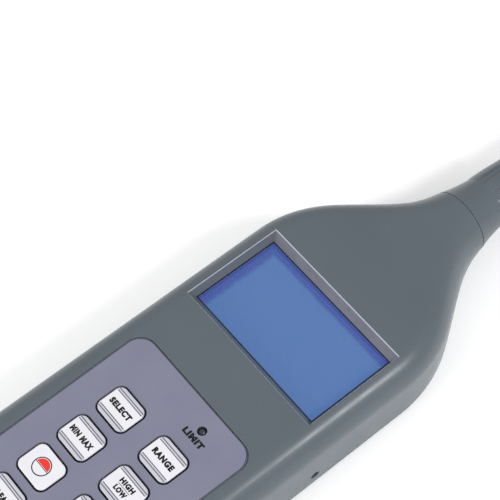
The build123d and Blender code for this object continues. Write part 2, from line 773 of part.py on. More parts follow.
# ---------------------------------------------------------------- alarm lamp on its two legs
led_top_z = case_depth - led_below_face
led_y = along(led_from_end)
with BuildPart() as alarm_led:
    with BuildSketch(Plane.XY.offset(led_top_z - led_length)):
        with Locations((led_offset, led_y)):
            Circle(led_radius)
    extrude(amount=led_length)
    fillet(alarm_led.faces().sort_by(Axis.Z)[-1].edges(), led_radius - 0.1)
    with BuildSketch(Plane.XY.offset(led_top_z - led_length)):
        with Locations((led_offset, led_y)):
            Circle(led_radius + 0.3)
    extrude(amount=0.7)
    with BuildSketch(Plane.XY.offset(board_top_z)):
        with Locations((led_offset - 0.65, led_y), (led_offset + 0.65, led_y)):
            Rectangle(0.4, 0.4)
    extrude(amount=led_top_z - led_length - board_top_z)
alarm_led.part.label = "alarm_led"
export_step(alarm_led.part, "parts/alarm_led.step")

# ---------------------------------------------------------------- level trimmer behind the side hole
inner_side_x = body_width / 2 - wall
trim_y = along(trim_from_end)
trim_body_side_x = inner_side_x - 0.9
trim_screw_seat = 2.0
with BuildPart() as trim_pot_body:
    with BuildSketch(Plane.XY.offset(trim_height - trim_body_drop)):
        with Locations((trim_body_side_x - trim_body_width / 2, trim_y)):
            Rectangle(trim_body_width, trim_body_length)
    extrude(amount=board_bottom_z - 0.05 - trim_height + trim_body_drop)
    with BuildSketch(Plane.YZ.offset(trim_body_side_x)):
        with Locations((trim_y, trim_height)):
            Circle(trim_screw_radius + 0.08)
    extrude(amount=-trim_screw_seat, mode=Mode.SUBTRACT)
trim_pot_body.part.label = "trim_pot_body"
export_step(trim_pot_body.part, "parts/trim_pot_body.step")

slot_width = 0.45
slot_depth = 0.6
trim_screw_end_x = inner_side_x - clearance
with BuildPart() as trim_pot_screw:
    with BuildSketch(Plane.YZ.offset(trim_body_side_x - trim_screw_seat + 0.1)):
        with Locations((trim_y, trim_height)):
            Circle(trim_screw_radius)
    extrude(amount=trim_screw_end_x - trim_body_side_x + trim_screw_seat - 0.1)
    with BuildSketch(Plane.YZ.offset(trim_screw_end_x)):
        with Locations((trim_y, trim_height)):
            Rectangle(3 * trim_screw_radius, slot_width)
    extrude(amount=-slot_depth, mode=Mode.SUBTRACT)
trim_pot_screw.part.label = "trim_pot_screw"
export_step(trim_pot_screw.part, "parts/trim_pot_screw.step")

# ---------------------------------------------------------------- output socket in the left wall
jack_y = along(jack_from_end)
jack_nose_end_x = -body_width / 2 + 0.2
jack_body_end_x = -inner_side_x + 0.1
with BuildPart() as output_jack:
    with BuildSketch(Plane.XY.offset(jack_height - jack_body_drop)):
        with Locations((jack_body_end_x + jack_depth / 2, jack_y)):
            Rectangle(jack_depth, jack_body_width)
    extrude(amount=board_bottom_z - 0.05 - jack_height + jack_body_drop)
    with BuildSketch(Plane.YZ.offset(jack_nose_end_x)):
        with Locations((jack_y, jack_height)):
            Circle(jack_nose_radius - 0.15)
    extrude(amount=jack_body_end_x - jack_nose_end_x)
    with BuildSketch(Plane.YZ.offset(jack_nose_end_x - 1)):
        with Locations((jack_y, jack_height)):
            Circle(jack_bore_radius)
    extrude(amount=jack_depth, mode=Mode.SUBTRACT)
output_jack.part.label = "output_jack"
export_step(output_jack.part, "parts/output_jack.step")

# ---------------------------------------------------------------- fasteners and tripod insert
case_head_z = 0.5
with BuildPart() as case_screws:
    with BuildSketch(Plane.XY.offset(case_head_z)):
        with Locations(*case_boss_points):
            Circle(case_head_radius)
    extrude(amount=case_head_height)
    with BuildSketch(Plane.XY.offset(case_head_z + case_head_height)):
        with Locations(*case_boss_points):
            Circle(case_screw_radius)
    extrude(amount=case_screw_length)
    with BuildSketch(Plane.XY.offset(case_head_z)):
        with Locations(*case_boss_points):
            Rectangle(2.6, 0.5)
            Rectangle(0.5, 2.6)
    extrude(amount=0.8, mode=Mode.SUBTRACT)
case_screws.part.label = "case_screws"
export_step(case_screws.part, "parts/case_screws.step")

with BuildPart() as tripod_insert:
    with BuildSketch(Plane.XY.offset(0.1)):
        with Locations((0, along(tripod_from_end))):
            Circle(tripod_insert_radius)
            Circle(tripod_radius, mode=Mode.SUBTRACT)
    extrude(amount=tripod_depth - 0.15)
tripod_insert.part.label = "tripod_insert"
export_step(tripod_insert.part, "parts/tripod_insert.step")

# ---------------------------------------------------------------- nose collar
# The collar is a hollow taper with broad flat ribs that start a little way up it.
spigot_radius = mic_radius + mic_tail_step + spigot_wall
collar_start_y = joint_y + seam_gap
collar_bore = mic_radius + 0.5
collar_tip_radius = 7.3
rib_tip_radius = 7.8
with BuildPart() as nose_collar:
    with BuildSketch(Plane.XY.offset(axis_z)):
        with BuildLine():
            outside = Spline(
                (neck_radius, collar_start_y),
                (8.85, joint_y + 5.0),
                (8.1, joint_y + 10.5),
                (7.6, joint_y + collar_mid_reach),
                (collar_tip_radius, collar_end_y),
            )
            Polyline(
                outside @ 1,
                (mic_radius + clearance, collar_end_y),
                (mic_radius + clearance, collar_end_y - 1.6),
                (collar_bore, collar_end_y - 1.6),
                (collar_bore, joint_y + spigot_length + 0.4),
                (spigot_radius + clearance, joint_y + spigot_length + 0.4),
                (spigot_radius + clearance, collar_start_y),
                outside @ 0,
            )
        make_face()
    revolve(axis=Axis((0, 0, axis_z), (0, 1, 0)))
    with BuildSketch(Plane.XY.offset(axis_z)):
        with BuildLine():
            rib_line = Spline(
                (8.15, joint_y + rib_start),
                (8.3, joint_y + rib_start + 1.6),
                (8.0, joint_y + collar_mid_reach),
                (rib_tip_radius, collar_end_y - 0.6),
            )
            Polyline(
                rib_line @ 1,
                (collar_tip_radius - 0.2, collar_end_y - 0.2),
                (collar_tip_radius - 0.2, joint_y + rib_start),
                rib_line @ 0,
            )
        make_face()
    # one rib is turned through its own angle, and the others are set round the axis
    first_rib = revolve(
        axis=Axis((0, 0, axis_z), (0, 1, 0)), revolution_arc=rib_angle, mode=Mode.PRIVATE
    )
    for index in range(rib_count):
        turn = 90 + rib_angle / 2 - index * 360 / rib_count
        add(first_rib.rotate(Axis((0, 0, axis_z), (0, -1, 0)), turn))
nose_collar.part.label = "nose_collar"
export_step(nose_collar.part, "parts/nose_collar.step")

with BuildPart() as mic_bush:
    with BuildSketch(across(joint_y + spigot_length + 1.0, axis_z)):
        Circle(collar_bore - clearance / 2)
        Circle(mic_tail_radius + clearance / 2, mode=Mode.SUBTRACT)
    extrude(amount=8.0)
mic_bush.part.label = "mic_bush"
export_step(mic_bush.part, "parts/mic_bush.step")

# ---------------------------------------------------------------- microphone
tube_start_y = joint_y - mic_tail
tube_end_y = tip_y - grid_length
tube_bore = mic_radius - mic_tube_wall
with BuildPart() as mic_tube:
    # thinner inside the collar, full size where it stands out
    with BuildSketch(across(tube_start_y, axis_z)):
        Circle(mic_tail_radius)
    extrude(amount=collar_end_y - tube_start_y)
    with BuildSketch(across(collar_end_y, axis_z)):
        Circle(mic_radius)
    extrude(amount=tube_end_y - collar_end_y)
    with BuildSketch(across(tube_start_y, axis_z)):
        Circle(tube_bore)
    extrude(amount=tube_end_y - tube_start_y, mode=Mode.SUBTRACT)
mic_tube.part.label = "mic_tube"
export_step(mic_tube.part, "parts/mic_tube.step")

with BuildPart() as mic_capsule:
    with BuildSketch(across(tube_end_y - capsule_length, axis_z)):
        Circle(tube_bore - 0.05)
    extrude(amount=capsule_length - 0.3)
mic_capsule.part.label = "mic_capsule"
export_step(mic_capsule.part, "parts/mic_capsule.step")

grid_radius = mic_tail_radius
grid_wall = 0.5
grid_slots = 6
with BuildPart() as mic_grid:
    with BuildSketch(across(tube_end_y + 0.1, axis_z)):
        Circle(grid_radius)
    extrude(amount=grid_length - 0.1)
    fillet(mic_grid.faces().sort_by(Axis.Y)[-1].edges(), 0.8)
    with BuildSketch(across(tube_end_y + 0.1, axis_z)):
        Circle(grid_radius - grid_wall)
    extrude(amount=grid_length - 0.1 - grid_wall, mode=Mode.SUBTRACT)
    with BuildSketch(across(tip_y - grid_wall - 1, axis_z)):
        with PolarLocations(3.1, grid_slots):
            SlotOverall(3.4, 0.9)
        Circle(0.5)
    extrude(amount=grid_wall + 1.5, mode=Mode.SUBTRACT)
mic_grid.part.label = "mic_grid"
export_step(mic_grid.part, "parts/mic_grid.step")

pin_radius = 0.4
pin_z = board_bottom_z - pin_radius - 0.05
pin_offset = 1.5
insulator_length = 2.0
with BuildPart() as mic_insulator:
    with BuildSketch(across(tube_start_y + 0.2, axis_z)):
        Circle(tube_bore - 0.05)
        with Locations((-pin_offset, pin_z - axis_z), (pin_offset, pin_z - axis_z)):
            Circle(pin_radius + 0.03, mode=Mode.SUBTRACT)
    extrude(amount=insulator_length)
mic_insulator.part.label = "mic_insulator"
export_step(mic_insulator.part, "parts/mic_insulator.step")

with BuildPart() as mic_pins:
    with BuildSketch(across(tongue_board_end_y - 4.0, pin_z)):
        with Locations((-pin_offset, 0), (pin_offset, 0)):
            Circle(pin_radius)
    extrude(amount=tube_start_y + insulator_length + 1.0 - tongue_board_end_y + 4.0)
mic_pins.part.label = "mic_pins"
export_step(mic_pins.part, "parts/mic_pins.step")
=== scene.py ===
# %% [markdown]
# # Hand-held sound level meter
# The meter lies on its back, with its battery end towards -Y and its microphone towards +Y.
# Its shell, keys, display stack, battery bay and microphone arrive as a fixed frame of
# finished solids. Everything here is added around them: the light and the camera, the finish
# of every surface, the printed lines and legends, the glow and the surround of the display,
# and the rings and threads of the metal parts. All lengths are in metres.

# %% Load the frame
from math import cos, pi, radians, sin

import bpy
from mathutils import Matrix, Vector


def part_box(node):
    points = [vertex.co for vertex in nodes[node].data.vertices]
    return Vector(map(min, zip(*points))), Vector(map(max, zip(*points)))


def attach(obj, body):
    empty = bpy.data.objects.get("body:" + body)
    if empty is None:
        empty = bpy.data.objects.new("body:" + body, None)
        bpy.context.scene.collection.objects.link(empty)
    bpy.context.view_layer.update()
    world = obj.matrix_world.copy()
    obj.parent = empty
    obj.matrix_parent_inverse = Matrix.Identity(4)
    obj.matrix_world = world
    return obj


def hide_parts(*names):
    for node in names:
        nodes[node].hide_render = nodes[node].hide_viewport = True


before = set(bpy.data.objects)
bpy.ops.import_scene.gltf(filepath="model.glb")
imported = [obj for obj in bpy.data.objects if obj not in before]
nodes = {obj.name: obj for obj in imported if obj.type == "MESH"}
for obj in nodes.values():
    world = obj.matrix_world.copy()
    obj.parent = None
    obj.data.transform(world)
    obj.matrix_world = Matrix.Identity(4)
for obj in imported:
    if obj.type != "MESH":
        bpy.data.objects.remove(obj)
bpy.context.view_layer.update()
mm = 0.001
scene = bpy.context.scene

# %% [markdown]
# ## Where things are
# On the bench a maker would reach for calipers. Here the boxes of the solids say where a
# surface lies, so an added piece follows its solid when the solid moves. Only what a box
# can't tell, such as the radius of a corner or the size of a key's visible top, is typed in.

# %% Places read from the solids
def middle(node):
    """Middle of a solid's box."""
    low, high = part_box(node)
    return Vector([(a + b) / 2 for a, b in zip(low, high)])


def span(node):
    """Size of a solid's box along X, Y and Z."""
    low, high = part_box(node)
    return Vector([b - a for a, b in zip(low, high)])


key_names = sorted(name for name in nodes if name.startswith("key_") and name != "key_mat")
key_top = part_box("key_power")[1][2]
film_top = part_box("keypad_overlay")[1][2]
window_low, window_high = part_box("lcd_window")
tube_axis_z = middle("mic_tube").z
print("key tops at", round(key_top / mm, 2), "mm, film at", round(film_top / mm, 2), "mm")

# %% [markdown]
# ## Light on a pale bench
# A soft box stands behind the right shoulder, a wider panel fills in from the battery end,
# and a plain white world stands for the walls of the room. A bare lamp would make a hard hot
# spot on the rounded edge, and a square panel gives the long soft gleam of a moulded one. The
# bench is one large plane.

# %% Floor, walls and two soft boxes
def area_lamp(name, direction, reach, width, power):
    """A square soft box that shines at the middle of the meter from a direction."""
    lamp = bpy.data.lights.new(name, "AREA")
    lamp.shape = "SQUARE"
    lamp.size = width
    lamp.energy = power
    stand = bpy.data.objects.new(name, lamp)
    scene.collection.objects.link(stand)
    stand.location = Vector(direction).normalized() * reach
    stand.rotation_euler = (-stand.location).to_track_quat("-Z", "Y").to_euler()


walls_brightness = 0.66
bench_side = 12.0

white_walls = bpy.data.worlds.new("white_walls")
white_walls.use_nodes = True
walls_light = white_walls.node_tree.nodes["Background"]
walls_light.inputs["Color"].default_value = (1.0, 1.0, 1.0, 1.0)
walls_light.inputs["Strength"].default_value = walls_brightness
scene.world = white_walls
scene.view_settings.view_transform = "Standard"

area_lamp("soft_box", (0.64, 0.307, 0.70), reach=0.9, width=0.17, power=3.3)
area_lamp("low_fill", (-0.1, -0.9, 0.36), reach=1.0, width=0.5, power=5.0)

bpy.ops.object.select_all(action="DESELECT")
bpy.ops.mesh.primitive_plane_add(size=bench_side)
floor = bpy.context.object
floor.name = "bench"
print("lamps:", [lamp.name for lamp in bpy.data.lights])

# %% [markdown]
# ## The camera
# The view looks down over the lower right of the meter with a long lens, so that the sides
# run nearly parallel and the microphone leaves the frame at the top right.

# %% Set up the camera
lens_length = 111.57
camera_place = Vector((0.14743, -0.11598, 0.39435))
view_right = Vector((0.63031, 0.77612, -0.01855))
view_down = Vector((0.66323, -0.55074, -0.50677))
view_back = view_right.cross(-view_down)

camera_data = bpy.data.cameras.new("camera")
camera_data.lens = lens_length
camera_data.sensor_width = 36.0
camera = bpy.data.objects.new("camera", camera_data)
scene.collection.objects.link(camera)
camera.rotation_mode = "QUATERNION"
turn = camera.matrix_world.to_3x3()
turn.col[0] = view_right
turn.col[1] = -view_down
turn.col[2] = view_back
camera.rotation_quaternion = turn.to_quaternion()
camera.location = camera_place
scene.camera = camera
print("camera looks along", [round(-part, 3) for part in view_back])

# %% [markdown]
# ## Mixing a finish
# Every finish is mixed from the same few things: a base colour, a slow drift of that colour
# over some millimetres, a fine grain cut into the mould, and edges that hands and pockets
# have rubbed paler. Painting each by hand would take an image, and an image blurs up close.
# Noise on the object's own coordinates stays sharp and stays put when a piece moves.

# %% A bench for mixing finishes
corner_samples = 6


def shade(red, green, blue):
    """A colour given in 0 to 255 steps, as the linear light that the shader wants."""
    steps = [value / 255 for value in (red, green, blue)]
    linear = [v / 12.92 if v <= 0.04045 else ((v + 0.055) / 1.055) ** 2.4 for v in steps]
    return (*linear, 1.0)


class Finish:
    """A material in the making, with its shader and the object's own coordinates."""

    def __init__(self, name, roughness, metallic=0.0, specular=0.5):
        self.material = bpy.data.materials.new(name)
        self.material.use_nodes = True
        self.tree = self.material.node_tree
        self.shader = self.tree.nodes["Principled BSDF"]
        self.shader.inputs["Roughness"].default_value = roughness
        self.shader.inputs["Metallic"].default_value = metallic
        self.shader.inputs["Specular IOR Level"].default_value = specular
        self.place = self.add("ShaderNodeTexCoord").outputs["Object"]

    def add(self, kind, **settings):
        """A node of a kind, with its properties set."""
        node = self.tree.nodes.new(kind)
        for setting, value in settings.items():
            setattr(node, setting, value)
        return node

    def feed(self, socket, source):
        """Link a source to a socket, or set the socket when the source is a plain value."""
        if isinstance(source, bpy.types.NodeSocket):
            self.tree.links.new(source, socket)
        else:
            socket.default_value = source

    def grain(self, size, detail=2.0, stretch=(1.0, 1.0, 1.0)):
        """Noise with features of a size, drawn out along an axis by stretch."""
        placing = self.add("ShaderNodeMapping")
        self.feed(placing.inputs["Vector"], self.place)
        placing.inputs["Scale"].default_value = [1.0 / (size * part) for part in stretch]
        noise = self.add("ShaderNodeTexNoise")
        self.feed(noise.inputs["Vector"], placing.outputs["Vector"])
        noise.inputs["Scale"].default_value = 1.0
        noise.inputs["Detail"].default_value = detail
        return noise.outputs["Fac"]

    def spread(self, source, low, high, out_low=0.0, out_high=1.0):
        """A value mapped from one range to another and held at its ends."""
        node = self.add("ShaderNodeMapRange", clamp=True)
        self.feed(node.inputs["Value"], source)
        node.inputs["From Min"].default_value = low
        node.inputs["From Max"].default_value = high
        node.inputs["To Min"].default_value = out_low
        node.inputs["To Max"].default_value = out_high
        return node.outputs["Result"]

    def math(self, operation, first, second=0.0):
        """Arithmetic on two values."""
        node = self.add("ShaderNodeMath", operation=operation)
        self.feed(node.inputs[0], first)
        self.feed(node.inputs[1], second)
        return node.outputs["Value"]

    def blend(self, mask, first, second):
        """Two colours, the second where the mask is 1."""
        node = self.add("ShaderNodeMix", data_type="RGBA")
        self.feed(node.inputs[0], mask)
        self.feed(node.inputs[6], first)
        self.feed(node.inputs[7], second)
        return node.outputs[2]

    def axis(self, letter):
        """One of the object's own coordinates."""
        node = self.add("ShaderNodeSeparateXYZ")
        self.feed(node.inputs["Vector"], self.place)
        return node.outputs[letter]

    def sharp_edge_mask(self, radius, start=0.97, full=0.72):
        """1 on sharp outer and inner edges, found by rounding the normal over a radius."""
        rounded = self.add("ShaderNodeBevel", samples=corner_samples)
        rounded.inputs["Radius"].default_value = radius
        plain = self.add("ShaderNodeNewGeometry")
        agree = self.add("ShaderNodeVectorMath", operation="DOT_PRODUCT")
        self.feed(agree.inputs[0], rounded.outputs["Normal"])
        self.feed(agree.inputs[1], plain.outputs["Normal"])
        return self.spread(agree.outputs["Value"], start, full)

    def relief(self, height, depth, strength=1.0, corner=0.0):
        """Bump of a depth, over a normal that is rounded at corners when a radius is given."""
        bump = self.add("ShaderNodeBump")
        bump.inputs["Strength"].default_value = strength
        bump.inputs["Distance"].default_value = depth
        self.feed(bump.inputs["Height"], height)
        if corner:
            rounded = self.add("ShaderNodeBevel", samples=corner_samples)
            rounded.inputs["Radius"].default_value = corner
            self.feed(bump.inputs["Normal"], rounded.outputs["Normal"])
        self.feed(self.shader.inputs["Normal"], bump.outputs["Normal"])

    def colour(self, source):
        """The colour of the surface, plain or from nodes."""
        self.feed(self.shader.inputs["Base Color"], source)

    def roughness(self, source):
        """The roughness of the surface, plain or from nodes."""
        self.feed(self.shader.inputs["Roughness"], source)


def wear(finish, *names):
    """Give a finish to solids of the frame, without touching their meshes."""
    for name in names:
        slots = nodes[name].data.materials
        slots.clear()
        slots.append(finish.material)
    print(finish.material.name, "is on", ", ".join(names))

# %% [markdown]
# ## The shell's moulded plastic
# The two halves, the battery door and the nose collar are grey-green ABS from a mould with a
# fine spark-eroded surface. Up close that is a field of tiny pits, and from a step away only
# a soft, broad sheen. A flat colour with one roughness looks like paint, so the finish has
# three scales: pits of a quarter millimetre, handling marks of a centimetre and a slow drift
# of tone. Its sharp rims are painted paler, as a painted highlight.

# %% Shell finish
def moulded_plastic(name, base, pale, drift_share=0.5):
    """Spark-eroded plastic with a painted highlight on its rims and faint handling marks."""
    finish = Finish(name, roughness=0.5, specular=0.26)
    tone = finish.spread(finish.grain(26 * mm, 3.0), 0.3, 0.7)
    deep = tuple(0.90 * part for part in base[:3]) + (1.0,)
    body = finish.blend(finish.math("MULTIPLY", tone, drift_share), base, deep)
    fleck = finish.spread(finish.grain(0.32 * mm, 2.0), 0.62, 0.78, 0.0, 0.16)
    body = finish.blend(fleck, body, pale)
    # painted highlight: sharp rims are blended towards the pale colour
    rim_highlight = finish.sharp_edge_mask(0.3 * mm)
    patchy = finish.spread(finish.grain(2.4 * mm, 3.0), 0.3, 0.6, 0.3, 0.6)
    finish.colour(finish.blend(finish.math("MULTIPLY", rim_highlight, patchy), body, pale))
    marks = finish.spread(finish.grain(9 * mm, 4.0), 0.35, 0.7, 0.25, 0.33)
    finish.roughness(marks)
    pits = finish.grain(0.24 * mm, 3.0)
    finish.relief(pits, 0.018 * mm, strength=0.55, corner=0.22 * mm)
    return finish


shell = moulded_plastic("shell_plastic", shade(92, 101, 108), shade(150, 158, 163))
wear(shell, "front_case", "rear_cover", "battery_door", "nose_collar")

# %% [markdown]
# ## The keypad film
# A printed polyester film lies in a shallow seat of the face. Its lavender-grey ink is on the
# underside, and its top is etched to a satin, so the light on it is soft and even. The grain
# is far finer than the shell's, and its cut edge carries a painted highlight, a thin bright line.

# %% Film finish
film = Finish("film_ink", roughness=0.38, specular=0.4)
ink_drift = film.spread(film.grain(14 * mm, 3.0), 0.3, 0.7)
ink = film.blend(ink_drift, shade(126, 127, 147), shade(120, 121, 142))
dots = film.spread(film.grain(0.16 * mm, 1.0), 0.45, 0.75, 0.0, 0.10)
ink = film.blend(dots, ink, shade(178, 178, 196))
# painted highlight: the film's sharp cut edges are blended towards a pale tone
cut_edge_highlight = film.math("MULTIPLY", film.sharp_edge_mask(0.18 * mm), 0.6)
film.colour(film.blend(cut_edge_highlight, ink, shade(196, 197, 208)))
film.roughness(film.spread(film.grain(5 * mm, 4.0), 0.3, 0.7, 0.34, 0.46))
film.relief(film.grain(0.12 * mm, 2.0), 0.006 * mm, strength=0.6)
wear(film, "keypad_overlay")

# %% [markdown]
# ## Two-shot keys
# Each key is white on top and black below the face, so that the gap round it reads as a dark
# line. Two pairs of fine grooves cross its top, and their floors are coloured grey to mark the
# lines. Both need no extra parts: the finish looks at the height on the key. The dark skirt is
# all that lies below the film, and a groove's floor is the only level surface just under the top.
# A band of painted shade lies beside the grooves, found by the place within a key's row.

# %% Key finish
row_pitch = middle("key_max").y - middle("key_power").y
row_start = middle("key_store").y - row_pitch / 2
# depths under the key's top: a groove's floor fades in and out between these
groove_deepest = 0.20 * mm
groove_deep = 0.17 * mm
groove_shallow = 0.11 * mm
groove_shallowest = 0.07 * mm
# distance from the key's middle where the painted shade band beside the grooves begins and is full
band_start = 2.75 * mm
band_full = 3.0 * mm
# depths under the film's top where the black skirt begins and is full
skirt_start = 0.05 * mm
skirt_full = 0.35 * mm


def keycap(name, grooved):
    """White cap over a black skirt, with grey groove floors and a painted shade band beside the grooves.
    """
    finish = Finish(name, roughness=0.32, specular=0.5)
    cap_drift = finish.spread(finish.grain(4 * mm, 3.0), 0.3, 0.7)
    tone = finish.blend(cap_drift, shade(232, 231, 236), shade(226, 226, 232))
    height = finish.axis("Z")
    if grooved:
        level = finish.add("ShaderNodeSeparateXYZ")
        normal = finish.add("ShaderNodeNewGeometry").outputs["Normal"]
        finish.feed(level.inputs["Vector"], normal)
        is_level = finish.spread(level.outputs["Z"], 0.93, 0.97)
        below_top = finish.spread(height, key_top - groove_shallow, key_top - groove_shallowest, 1.0, 0.0)
        above_seat = finish.spread(height, key_top - groove_deepest, key_top - groove_deep)
        groove_floor_grey = finish.math("MULTIPLY", finish.math("MULTIPLY", is_level, below_top), above_seat)
        # the rows repeat at one pitch, so a place within a key comes from the remainder
        from_start = finish.math("SUBTRACT", finish.axis("Y"), row_start)
        in_row = finish.math("FLOORED_MODULO", from_start, row_pitch)
        from_middle = finish.math("ABSOLUTE", finish.math("SUBTRACT", in_row, row_pitch / 2))
        # painted shade: a grey band near the key's upper and lower edges
        band = finish.spread(from_middle, band_start, band_full, 0.0, 0.6)
        tone = finish.blend(band, tone, shade(172, 172, 186))
        tone = finish.blend(finish.math("MULTIPLY", groove_floor_grey, 0.9), tone, shade(78, 75, 98))
    skirt = finish.spread(height, film_top - skirt_full, film_top - skirt_start, 1.0, 0.0)
    finish.colour(finish.blend(skirt, tone, shade(14, 14, 16)))
    finish.roughness(finish.spread(finish.grain(2.5 * mm, 4.0), 0.3, 0.7, 0.26, 0.40))
    finish.relief(finish.grain(0.2 * mm, 2.0), 0.006 * mm, strength=0.5, corner=0.12 * mm)
    return finish


wear(keycap("key_white_grooved", True), *[name for name in key_names if name != "key_power"])
wear(keycap("key_white_plain", False), "key_power")

# %% [markdown]
# ## The display stack
# Under the clear window lies a blue backlit glass. Near the left and upper rims its blue is
# painted deeper, as painted shade cast by the walls of the recess.
# A transparent window over a lit block would do, but refraction costs samples and gains
# nothing here, so the window is a nearly invisible gloss and the glass glows by itself.

# %% Display finishes
# the painted shade band lies along the left and upper rims of the window
shade_band_margin = 0.9 * mm
shade_edge_waver = 0.35 * mm
left_dark = window_low[0] + shade_band_margin + 0.8 * mm
left_lit = window_low[0] + shade_band_margin + 2.2 * mm
upper_lit = window_high[1] - shade_band_margin - 1.3 * mm
upper_dark = window_high[1] - shade_band_margin - 0.4 * mm


def display_glow_and_shade(name, strength):
    """Backlit blue with painted shade that deepens it towards the left and upper rims, and a fine dot
    pitch.
    """
    finish = Finish(name, roughness=0.35, specular=0.2)
    waver = finish.spread(finish.grain(5 * mm, 2.0), 0.0, 1.0, -shade_edge_waver, shade_edge_waver)
    left = finish.math("ADD", finish.axis("X"), waver)
    upper = finish.math("ADD", finish.axis("Y"), waver)
    # painted shade: the emitted blue is deeper near the left and upper rims, as shade from the recess
    # walls
    left_painted_shade = finish.spread(left, left_dark, left_lit, 1.0, 0.0)
    upper_painted_shade = finish.spread(upper, upper_lit, upper_dark)
    painted_shade_band = finish.math("MAXIMUM", left_painted_shade, upper_painted_shade)
    lit = finish.blend(painted_shade_band, shade(70, 107, 165), shade(52, 70, 146))
    dots = finish.spread(finish.grain(0.3 * mm, 1.0), 0.55, 0.75, 0.0, 0.03)
    lit = finish.blend(dots, lit, shade(60, 92, 150))
    finish.colour(shade(12, 18, 40))
    finish.feed(finish.shader.inputs["Emission Color"], lit)
    finish.shader.inputs["Emission Strength"].default_value = strength
    finish.roughness(finish.spread(finish.grain(3 * mm, 2.0), 0.3, 0.7, 0.3, 0.42))
    finish.relief(finish.grain(0.3 * mm, 1.0), 0.003 * mm, strength=0.3)
    return finish


glass = display_glow_and_shade("display_blue", 1.0)
wear(glass, "lcd_glass")

window = Finish("window_clear", roughness=0.06, specular=0.22)
window.colour(window.blend(window.grain(8 * mm, 3.0), shade(150, 180, 225), shade(160, 188, 230)))
window.shader.inputs["Alpha"].default_value = 0.07
window.roughness(window.spread(window.grain(6 * mm, 5.0), 0.45, 0.8, 0.04, 0.11))
window.relief(window.grain(12 * mm, 2.0), 0.01 * mm, strength=0.3)
wear(window, "lcd_window")

tape = Finish("black_tape", roughness=0.7)
tape.colour(tape.blend(tape.grain(0.5 * mm), shade(12, 13, 18), shade(24, 25, 34)))
tape.relief(tape.grain(0.15 * mm), 0.01 * mm)
wear(tape, "window_tape")

# %% [markdown]
# ## Metals
# The fixings are zinc-plated steel, the tripod insert and the trimmer screw are brass, and
# the microphone is turned nickel. Turned metal shows rings round its axis, so the noise is
# squeezed along the axis: that gives tooling lines with no texture image. Plating is
# mottled instead. All three share one recipe and differ in colour, roughness and stretch.

# %% Metal finishes
def metal(name, bright, dull, roughness, stretch, line_size, depth):
    """Bare metal with tool lines drawn out by stretch, and a duller tone in blotches."""
    finish = Finish(name, roughness=roughness, metallic=1.0)
    blotch = finish.spread(finish.grain(6 * mm, 3.0), 0.3, 0.7)
    tone = finish.blend(blotch, bright, dull)
    finish.colour(finish.blend(finish.sharp_edge_mask(0.12 * mm), tone, bright))
    lines = finish.grain(line_size, 2.0, stretch)
    finish.roughness(finish.spread(lines, 0.3, 0.7, roughness * 0.8, roughness * 1.3))
    finish.relief(lines, depth, strength=0.6, corner=0.06 * mm)
    return finish


round_y = (90.0, 1.0, 90.0)
round_z = (60.0, 60.0, 1.0)
even = (1.0, 1.0, 1.0)
nickel = metal(
    "turned_nickel",
    bright=shade(208, 207, 203),
    dull=shade(192, 191, 188),
    roughness=0.22,
    stretch=round_y,
    line_size=0.12 * mm,
    depth=0.0015 * mm,
)
steel = metal(
    "zinc_steel",
    bright=shade(190, 193, 196),
    dull=shade(140, 143, 147),
    roughness=0.34,
    stretch=even,
    line_size=0.2 * mm,
    depth=0.006 * mm,
)
brass = metal(
    "brass",
    bright=shade(214, 178, 104),
    dull=shade(172, 134, 70),
    roughness=0.28,
    stretch=round_z,
    line_size=0.08 * mm,
    depth=0.004 * mm,
)
wear(nickel, "mic_tube", "mic_grid", "mic_capsule")
wear(steel, "case_screws", "board_screws", "battery_springs", "battery_plates", "mic_pins")
wear(brass, "tripod_insert", "trim_pot_screw")

# %% [markdown]
# ## Small inner parts
# Little of the inside shows: the board and its chips through no opening at all, the cells
# only when the door slides back. They still get their own colours and grain, because an
# exploded or cut view of the library part shows them. Solder mask, moulded epoxy, silicone
# and glass-filled black plastic differ mostly in roughness, so one short recipe serves.

# %% Inner finishes
def plain_moulding(name, base, other, roughness, grain_size, drift=6 * mm):
    """Simple plastic, rubber or lacquer: two tones, a grain and pale rubbed edges."""
    finish = Finish(name, roughness=roughness, specular=0.45)
    tone = finish.blend(finish.spread(finish.grain(drift, 3.0), 0.3, 0.7), base, other)
    pale = tuple(min(1.0, 1.6 * part + 0.03) for part in base[:3]) + (1.0,)
    finish.colour(finish.blend(finish.sharp_edge_mask(0.15 * mm), tone, pale))
    scuffs = finish.grain(2 * mm, 3.0)
    finish.roughness(finish.spread(scuffs, 0.3, 0.7, roughness * 0.85, roughness * 1.15))
    finish.relief(finish.grain(grain_size, 2.0), 0.01 * mm, strength=0.5)
    return finish


mask_green = plain_moulding("solder_mask", shade(28, 92, 54), shade(20, 74, 44), 0.35, 0.4 * mm, 2 * mm)
epoxy = plain_moulding("chip_epoxy", shade(30, 30, 32), shade(38, 38, 41), 0.6, 0.12 * mm)
silicone = plain_moulding("grey_silicone", shade(150, 150, 154), shade(138, 138, 143), 0.65, 0.3 * mm)
black = plain_moulding("black_plastic", shade(24, 25, 27), shade(32, 33, 35), 0.42, 0.2 * mm)
trimmer_blue = plain_moulding("trimmer_blue", shade(38, 74, 150), shade(30, 62, 132), 0.4, 0.2 * mm)
diffuser = plain_moulding("light_guide", shade(232, 236, 244), shade(222, 228, 240), 0.3, 0.3 * mm)
lens = plain_moulding("smoked_lens", shade(62, 64, 70), shade(48, 50, 56), 0.14, 0.5 * mm)
wear(mask_green, "main_board")
wear(epoxy, "board_chips")
wear(silicone, "key_mat", "lcd_strips")
wear(black, "output_jack", "lcd_frame", "mic_bush", "mic_insulator")
wear(trimmer_blue, "trim_pot_body")
wear(diffuser, "lcd_backlight")
wear(lens, "alarm_led")

